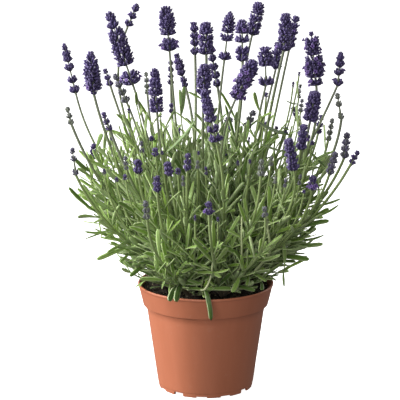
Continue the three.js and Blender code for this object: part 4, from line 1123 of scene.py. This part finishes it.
# Spikes with rows of their own: height above the spike's foot and radius of each row.
ownRows = {
    1: ((1.5, 5.3), (10.7, 4.8), (22.3, 5), (30, 4.5), (35, 4.3), (40, 3.4)),
    2: ((0, 3.2), (4, 7), (9, 7.5), (14.2, 7.5), (19.4, 7.3), (24.4, 6.4), (31, 4.8)),
    3: ((0.5, 8.5), (6, 7.6), (18, 8), (23.5, 8.5), (29, 8.5), (34.5, 8.5), (40, 8.3), (45, 7), (53.5, 5.6),
        (59.5, 5.2)),
    4: ((0, 4.4), (7.4, 4.3), (14.2, 4.3)),
    5: ((0.3, 7.75), (4.6, 6.8), (14, 7.6), (20, 7.75), (25.4, 7.75), (30.4, 7.2)),
    6: ((0, 3.4), (4.6, 3.6), (12, 4.6), (17, 5.2), (22, 4.4), (27, 3.2)),
    7: ((0, 4.8), (7.6, 4.8), (13.6, 4.6), (19.6, 4.4), (24, 3.6)),
    11: ((2.9, 6.2), (13, 5.6), (22.5, 5.5), (28.9, 5.4), (33.6, 5.2), (38.7, 5), (44, 4.6)),
    12: ((0.3, 6), (17, 6.2), (24, 5.9), (29.6, 5.7), (35, 5)),
    14: ((0, 6.2), (6, 6.5), (16, 6.5), (24, 6.4), (29.4, 5.6)),
    15: ((0, 6.2), (5.5, 6.4), (13, 7.2), (18, 7.5), (23, 7.5), (28, 7)),
    18: ((0, 6.75), (16.5, 6.75), (21.6, 6.75), (26.4, 6)),
    20: ((1.5, 5.8), (9, 8.2), (13.2, 9.2), (17.4, 9.2), (21.4, 8), (28.4, 6.8), (33.4, 7), (38, 6.2), (45, 2.6)),
    22: ((0, 4.9), (9.2, 4.9), (16.5, 4.7), (21.6, 4.3)),
    23: ((0, 6), (6.8, 6), (14.8, 6), (21, 5.8), (26.2, 5.5), (31.4, 4.6)),
}
# Spikes in bud, by how ripe they are, and shares of open flowers: in a whole spike, and in its two lowest whorls.
inBud = {27: 0.6, 28: 0.35, 29: 0.3, 30: 0.7, 32: 0.7, 33: 0.4, 36: 0.7, 39: 0.35, 42: 0.45, 46: 0.6, 47: 0.3, 48: 0.5}
inFlower = {2: 0.05, 8: 0.05, 10: 0.05, 15: 0.12, 17: 0.04, 20: 0.2, 44: 0.2, 49: 0.9}
lowFlower = {2: 0.2, 3: 0.3, 5: 0.3, 15: 0.2}


def rowsOf(stem):  # each row of a spike: height, radius, and how far its calyces draw together on two sides
    _, _, length, width, whorls, dense = stem["spike"]
    pinch, close = spikeRule["pinch"], spikeRule["closePinch"]
    if stem["seed"] in ownRows:
        rows = ownRows[stem["seed"]]
        tops = [height for height, _ in rows[1:]] + [rows[-1][0] + spikeRule["lastRow"]]
        free = [top - height > spikeRule["freeAbove"] for (height, _), top in zip(rows, tops)]
        free[0] = free[0] or free[1]
        return [(height, radius, pinch if loose else close) for (height, radius), loose in zip(rows, free)]
    pitch = min(spikeRule["pitch"], length / whorls)
    if stem["ripe"] is not None:
        width *= spikeRule["smaller"]
    head, loose = pitch * dense, whorls - dense
    rows = [(k * (length - head) / loose, width / 2, pinch) for k in range(loose)]
    return rows + [(length - head + k * pitch, width / 2 * min(1, 0.84 + 0.12 * (dense - 1 - k)), close)
                   for k in range(dense)]


def spikeSprigs(stem):  # the calyces and bracts of a spike, and its open flowers
    number = stem["seed"]
    _, _, length, width, whorls, _ = stem["spike"]
    base, direction, draw = stem["base"], stem["direction"], draws(500 + number)
    pitch = min(spikeRule["pitch"], length / whorls)
    rows = rowsOf(stem)
    ripe = inBud.get(number, 1.0) if stem["ripe"] is None else stem["ripe"]
    calyces, flowers = [], []

    def sprig(root, along, size, bend, kind, age):
        across = (direction - along * direction.dot(along)).normalized()
        return {"root": root, "growAlong": along, "growUp": across, "growSize": tuple(c * mm for c in size),
                "growBend": bend, "growTwist": 0.0, "growKind": kind, "tint": draw(), "age": age}

    def addCalyx(mouth, along, size, kind, share=1.0):
        age = min(1.0, max(0.0, ripe * share + spikeRule["ripeSpread"] * (draw() - 0.5))) if ripe < 1 else share
        sizes = (size, size * spikeRule["slim"], size * spikeRule["slim"])
        calyces.append(sprig(mouth - along * size, along, sizes, spikeRule["sag"] * draw(), kind, age))

    for row, (height, radius, pinch) in enumerate(rows):
        quarter = math.pi / 2 + spikeRule["turnBySpike"] * (number % 7 - 3) + spikeRule["turnByRow"] * row
        opened = max(inFlower.get(number, spikeRule["openFlowers"]), lowFlower.get(number, 0) if row < 2 else 0)
        tight, last = radius < spikeRule["tightRadius"], row == len(rows) - 1
        if last:
            tiers = spikeRule["tightCrown" if tight else "crown"]
        else:
            tiers = spikeRule["tight" if tight else "dense" if pinch == spikeRule["closePinch"] else "loose"]
        for tier, (angle, share, lift) in enumerate(tiers):
            count = max(4, round(spikeRule["counts"][0] + spikeRule["counts"][1] * radius) - tier // 2)
            for i in range(count):
                turn = quarter + math.tau * (i + 0.5 * tier) / count + spikeRule["aside"] * (draw() - 0.5)
                turn -= pinch * math.sin(2 * (turn - quarter))
                out = rotated(direction, 1, turn)
                lean = math.radians(angle + spikeRule["lean"] * (draw() - 0.5))
                along = direction * math.cos(lean) + out * math.sin(lean)
                reach = radius * share * between(spikeRule["reach"], draw())
                size = min(spikeRule["calyx"], max(spikeRule["shortest"], (reach - 0.6) / math.sin(lean)))
                rise = min(length - 0.8, height + lift * pitch * between(spikeRule["lift"], draw()))
                mouth = base + direction * rise + out * reach
                addCalyx(mouth, along, size, int(draw() * 2) % 2)
                if tier < 2 and draw() < opened * ripe and not last:
                    tilt = (along + direction * spikeRule["flowerLift"] * draw()).normalized()
                    sizes = [c * min(1.0, size / 6) for c in spikeRule["flower"]]
                    flowers.append(sprig(mouth - tilt * spikeRule["flowerSeat"], tilt, sizes, 0.0, 0, 1.0))
        for side in (0, math.pi):  # the pair of bracts under the whorl
            out = rotated(direction, 1, quarter + side)
            along = (direction * 0.5 + out * 0.87).normalized()
            size = min(spikeRule["bractLongest"], spikeRule["bractShare"] * radius)
            mouth = base + direction * (height + 0.5) + out * 0.5 + along * size
            addCalyx(mouth, along, size, 2, spikeRule["bractRipe"])
            calyces[-1]["growSize"] = tuple(c * size * mm for c in spikeRule["bract"]) + (spikeRule["bractThick"] * mm,)
    for i in range(4 if width > spikeRule["tuftWide"] else 3):  # the tuft at the tip
        out = rotated(direction, 1, math.tau * i / 4 + number)
        along = (direction + out * spikeRule["tuftOut"]).normalized()
        mouth = base + direction * (length - 0.5 - spikeRule["tuftStep"] * i) + out * spikeRule["tuftSeat"]
        addCalyx(mouth, along, min(spikeRule["tuftLongest"], spikeRule["tuftShare"] * length), 1)
    return calyces, flowers


def makeSpikes(branch, own):
    made = [spikeSprigs(stem) for stem in own if stem["spike"]]
    calyces, flowers = [[sprig for pair in made for sprig in pair[which]] for which in (0, 1)]
    nodes = [f"spike_{stem['seed']:02d}" for stem in own if stem["kind"] == "flower"]
    keep(plant(f"branch{branch + 1}Calyces", calyces, calyxBlanks, calyxLook), nodes)
    if flowers:
        keep(plant(f"branch{branch + 1}Corollas", flowers, corollaBlanks, petalLook))


for branch in range(len(feet)):
    own = [stem for stem in stems if stem["branch"] == branch]
    makeStems(branch, own)
    makeLeaves(branch, own)
    makeSpikes(branch, own)
makeOuterLeaves()
makeRimLeaf()
print("plant built")

# Lights in metres: place, size and watts; all of them look at the middle of the plant.
studio = {
    "floor": 4000, "paper": "#f2f2f0", "glow": 0.93, "world": 0.15, "middle": (0, 0, 0.17),
    "lights": {
        "keyLight": ((-2.35, -0.15, 1.2), 1.3, 142),
        "fillLight": ((-0.55, -2.3, 1.0), 2.0, 38),
        "edgeLight": ((1.5, 1.1, 0.6), 1.0, 10),
    },
}


def makeStudio():
    # White seamless paper, lit so brightly that it has no shade of its own.
    paper = newMaterial("whitePaperSweep", {
        "Base Color": linear(studio["paper"]), "Roughness": 0.9, "Emission Color": linear("#ffffff"),
        "Emission Strength": studio["glow"]})[0]
    far = studio["floor"]
    floor = newPiece("floor", [(-far, -far, 0), (far, -far, 0), (far, far, 0), (-far, far, 0)], [], [(0, 1, 2, 3)])
    floor.data.materials.append(paper)
    floor.visible_diffuse = floor.visible_glossy = False  # the white paper doesn't light the plant from below
    world = bpy.data.worlds.new("studio")
    world.use_nodes = True
    background = world.node_tree.nodes["Background"].inputs
    background["Color"].default_value, background["Strength"].default_value = linear("#ffffff"), studio["world"]
    scene.world = world
    for name, (place, size, power) in studio["lights"].items():
        light = bpy.data.lights.new(name, "AREA")
        light.size, light.energy = size, power
        lamp = bpy.data.objects.new(name, light)
        lamp.location = place
        lamp.rotation_euler = (Vector(studio["middle"]) - Vector(place)).to_track_quat("-Z", "Y").to_euler()
        scene.collection.objects.link(lamp)


def makeCamera():
    view = {"aim": Vector((-5.05, 0, 169.1)), "distance": 1800, "elevation": 13.12, "lens": 184.4, "sensor": 36,
            "farthest": 50}
    tilt = math.radians(view["elevation"])
    data = bpy.data.cameras.new("camera")
    data.lens, data.sensor_width, data.clip_end = view["lens"], view["sensor"], view["farthest"]
    camera = bpy.data.objects.new("camera", data)
    camera.location = (view["aim"] + Vector((0, -math.cos(tilt), math.sin(tilt))) * view["distance"]) * mm
    camera.rotation_euler = (math.pi / 2 - tilt, 0, 0)
    scene.collection.objects.link(camera)
    scene.camera = camera


makeStudio()
makeCamera()
scene.view_settings.view_transform = "Standard"

for group in (leafBlanks, calyxBlanks, corollaBlanks):
    for blank in list(group.objects):
        bpy.data.objects.remove(blank)
    bpy.data.collections.remove(group)
print("scene ready")
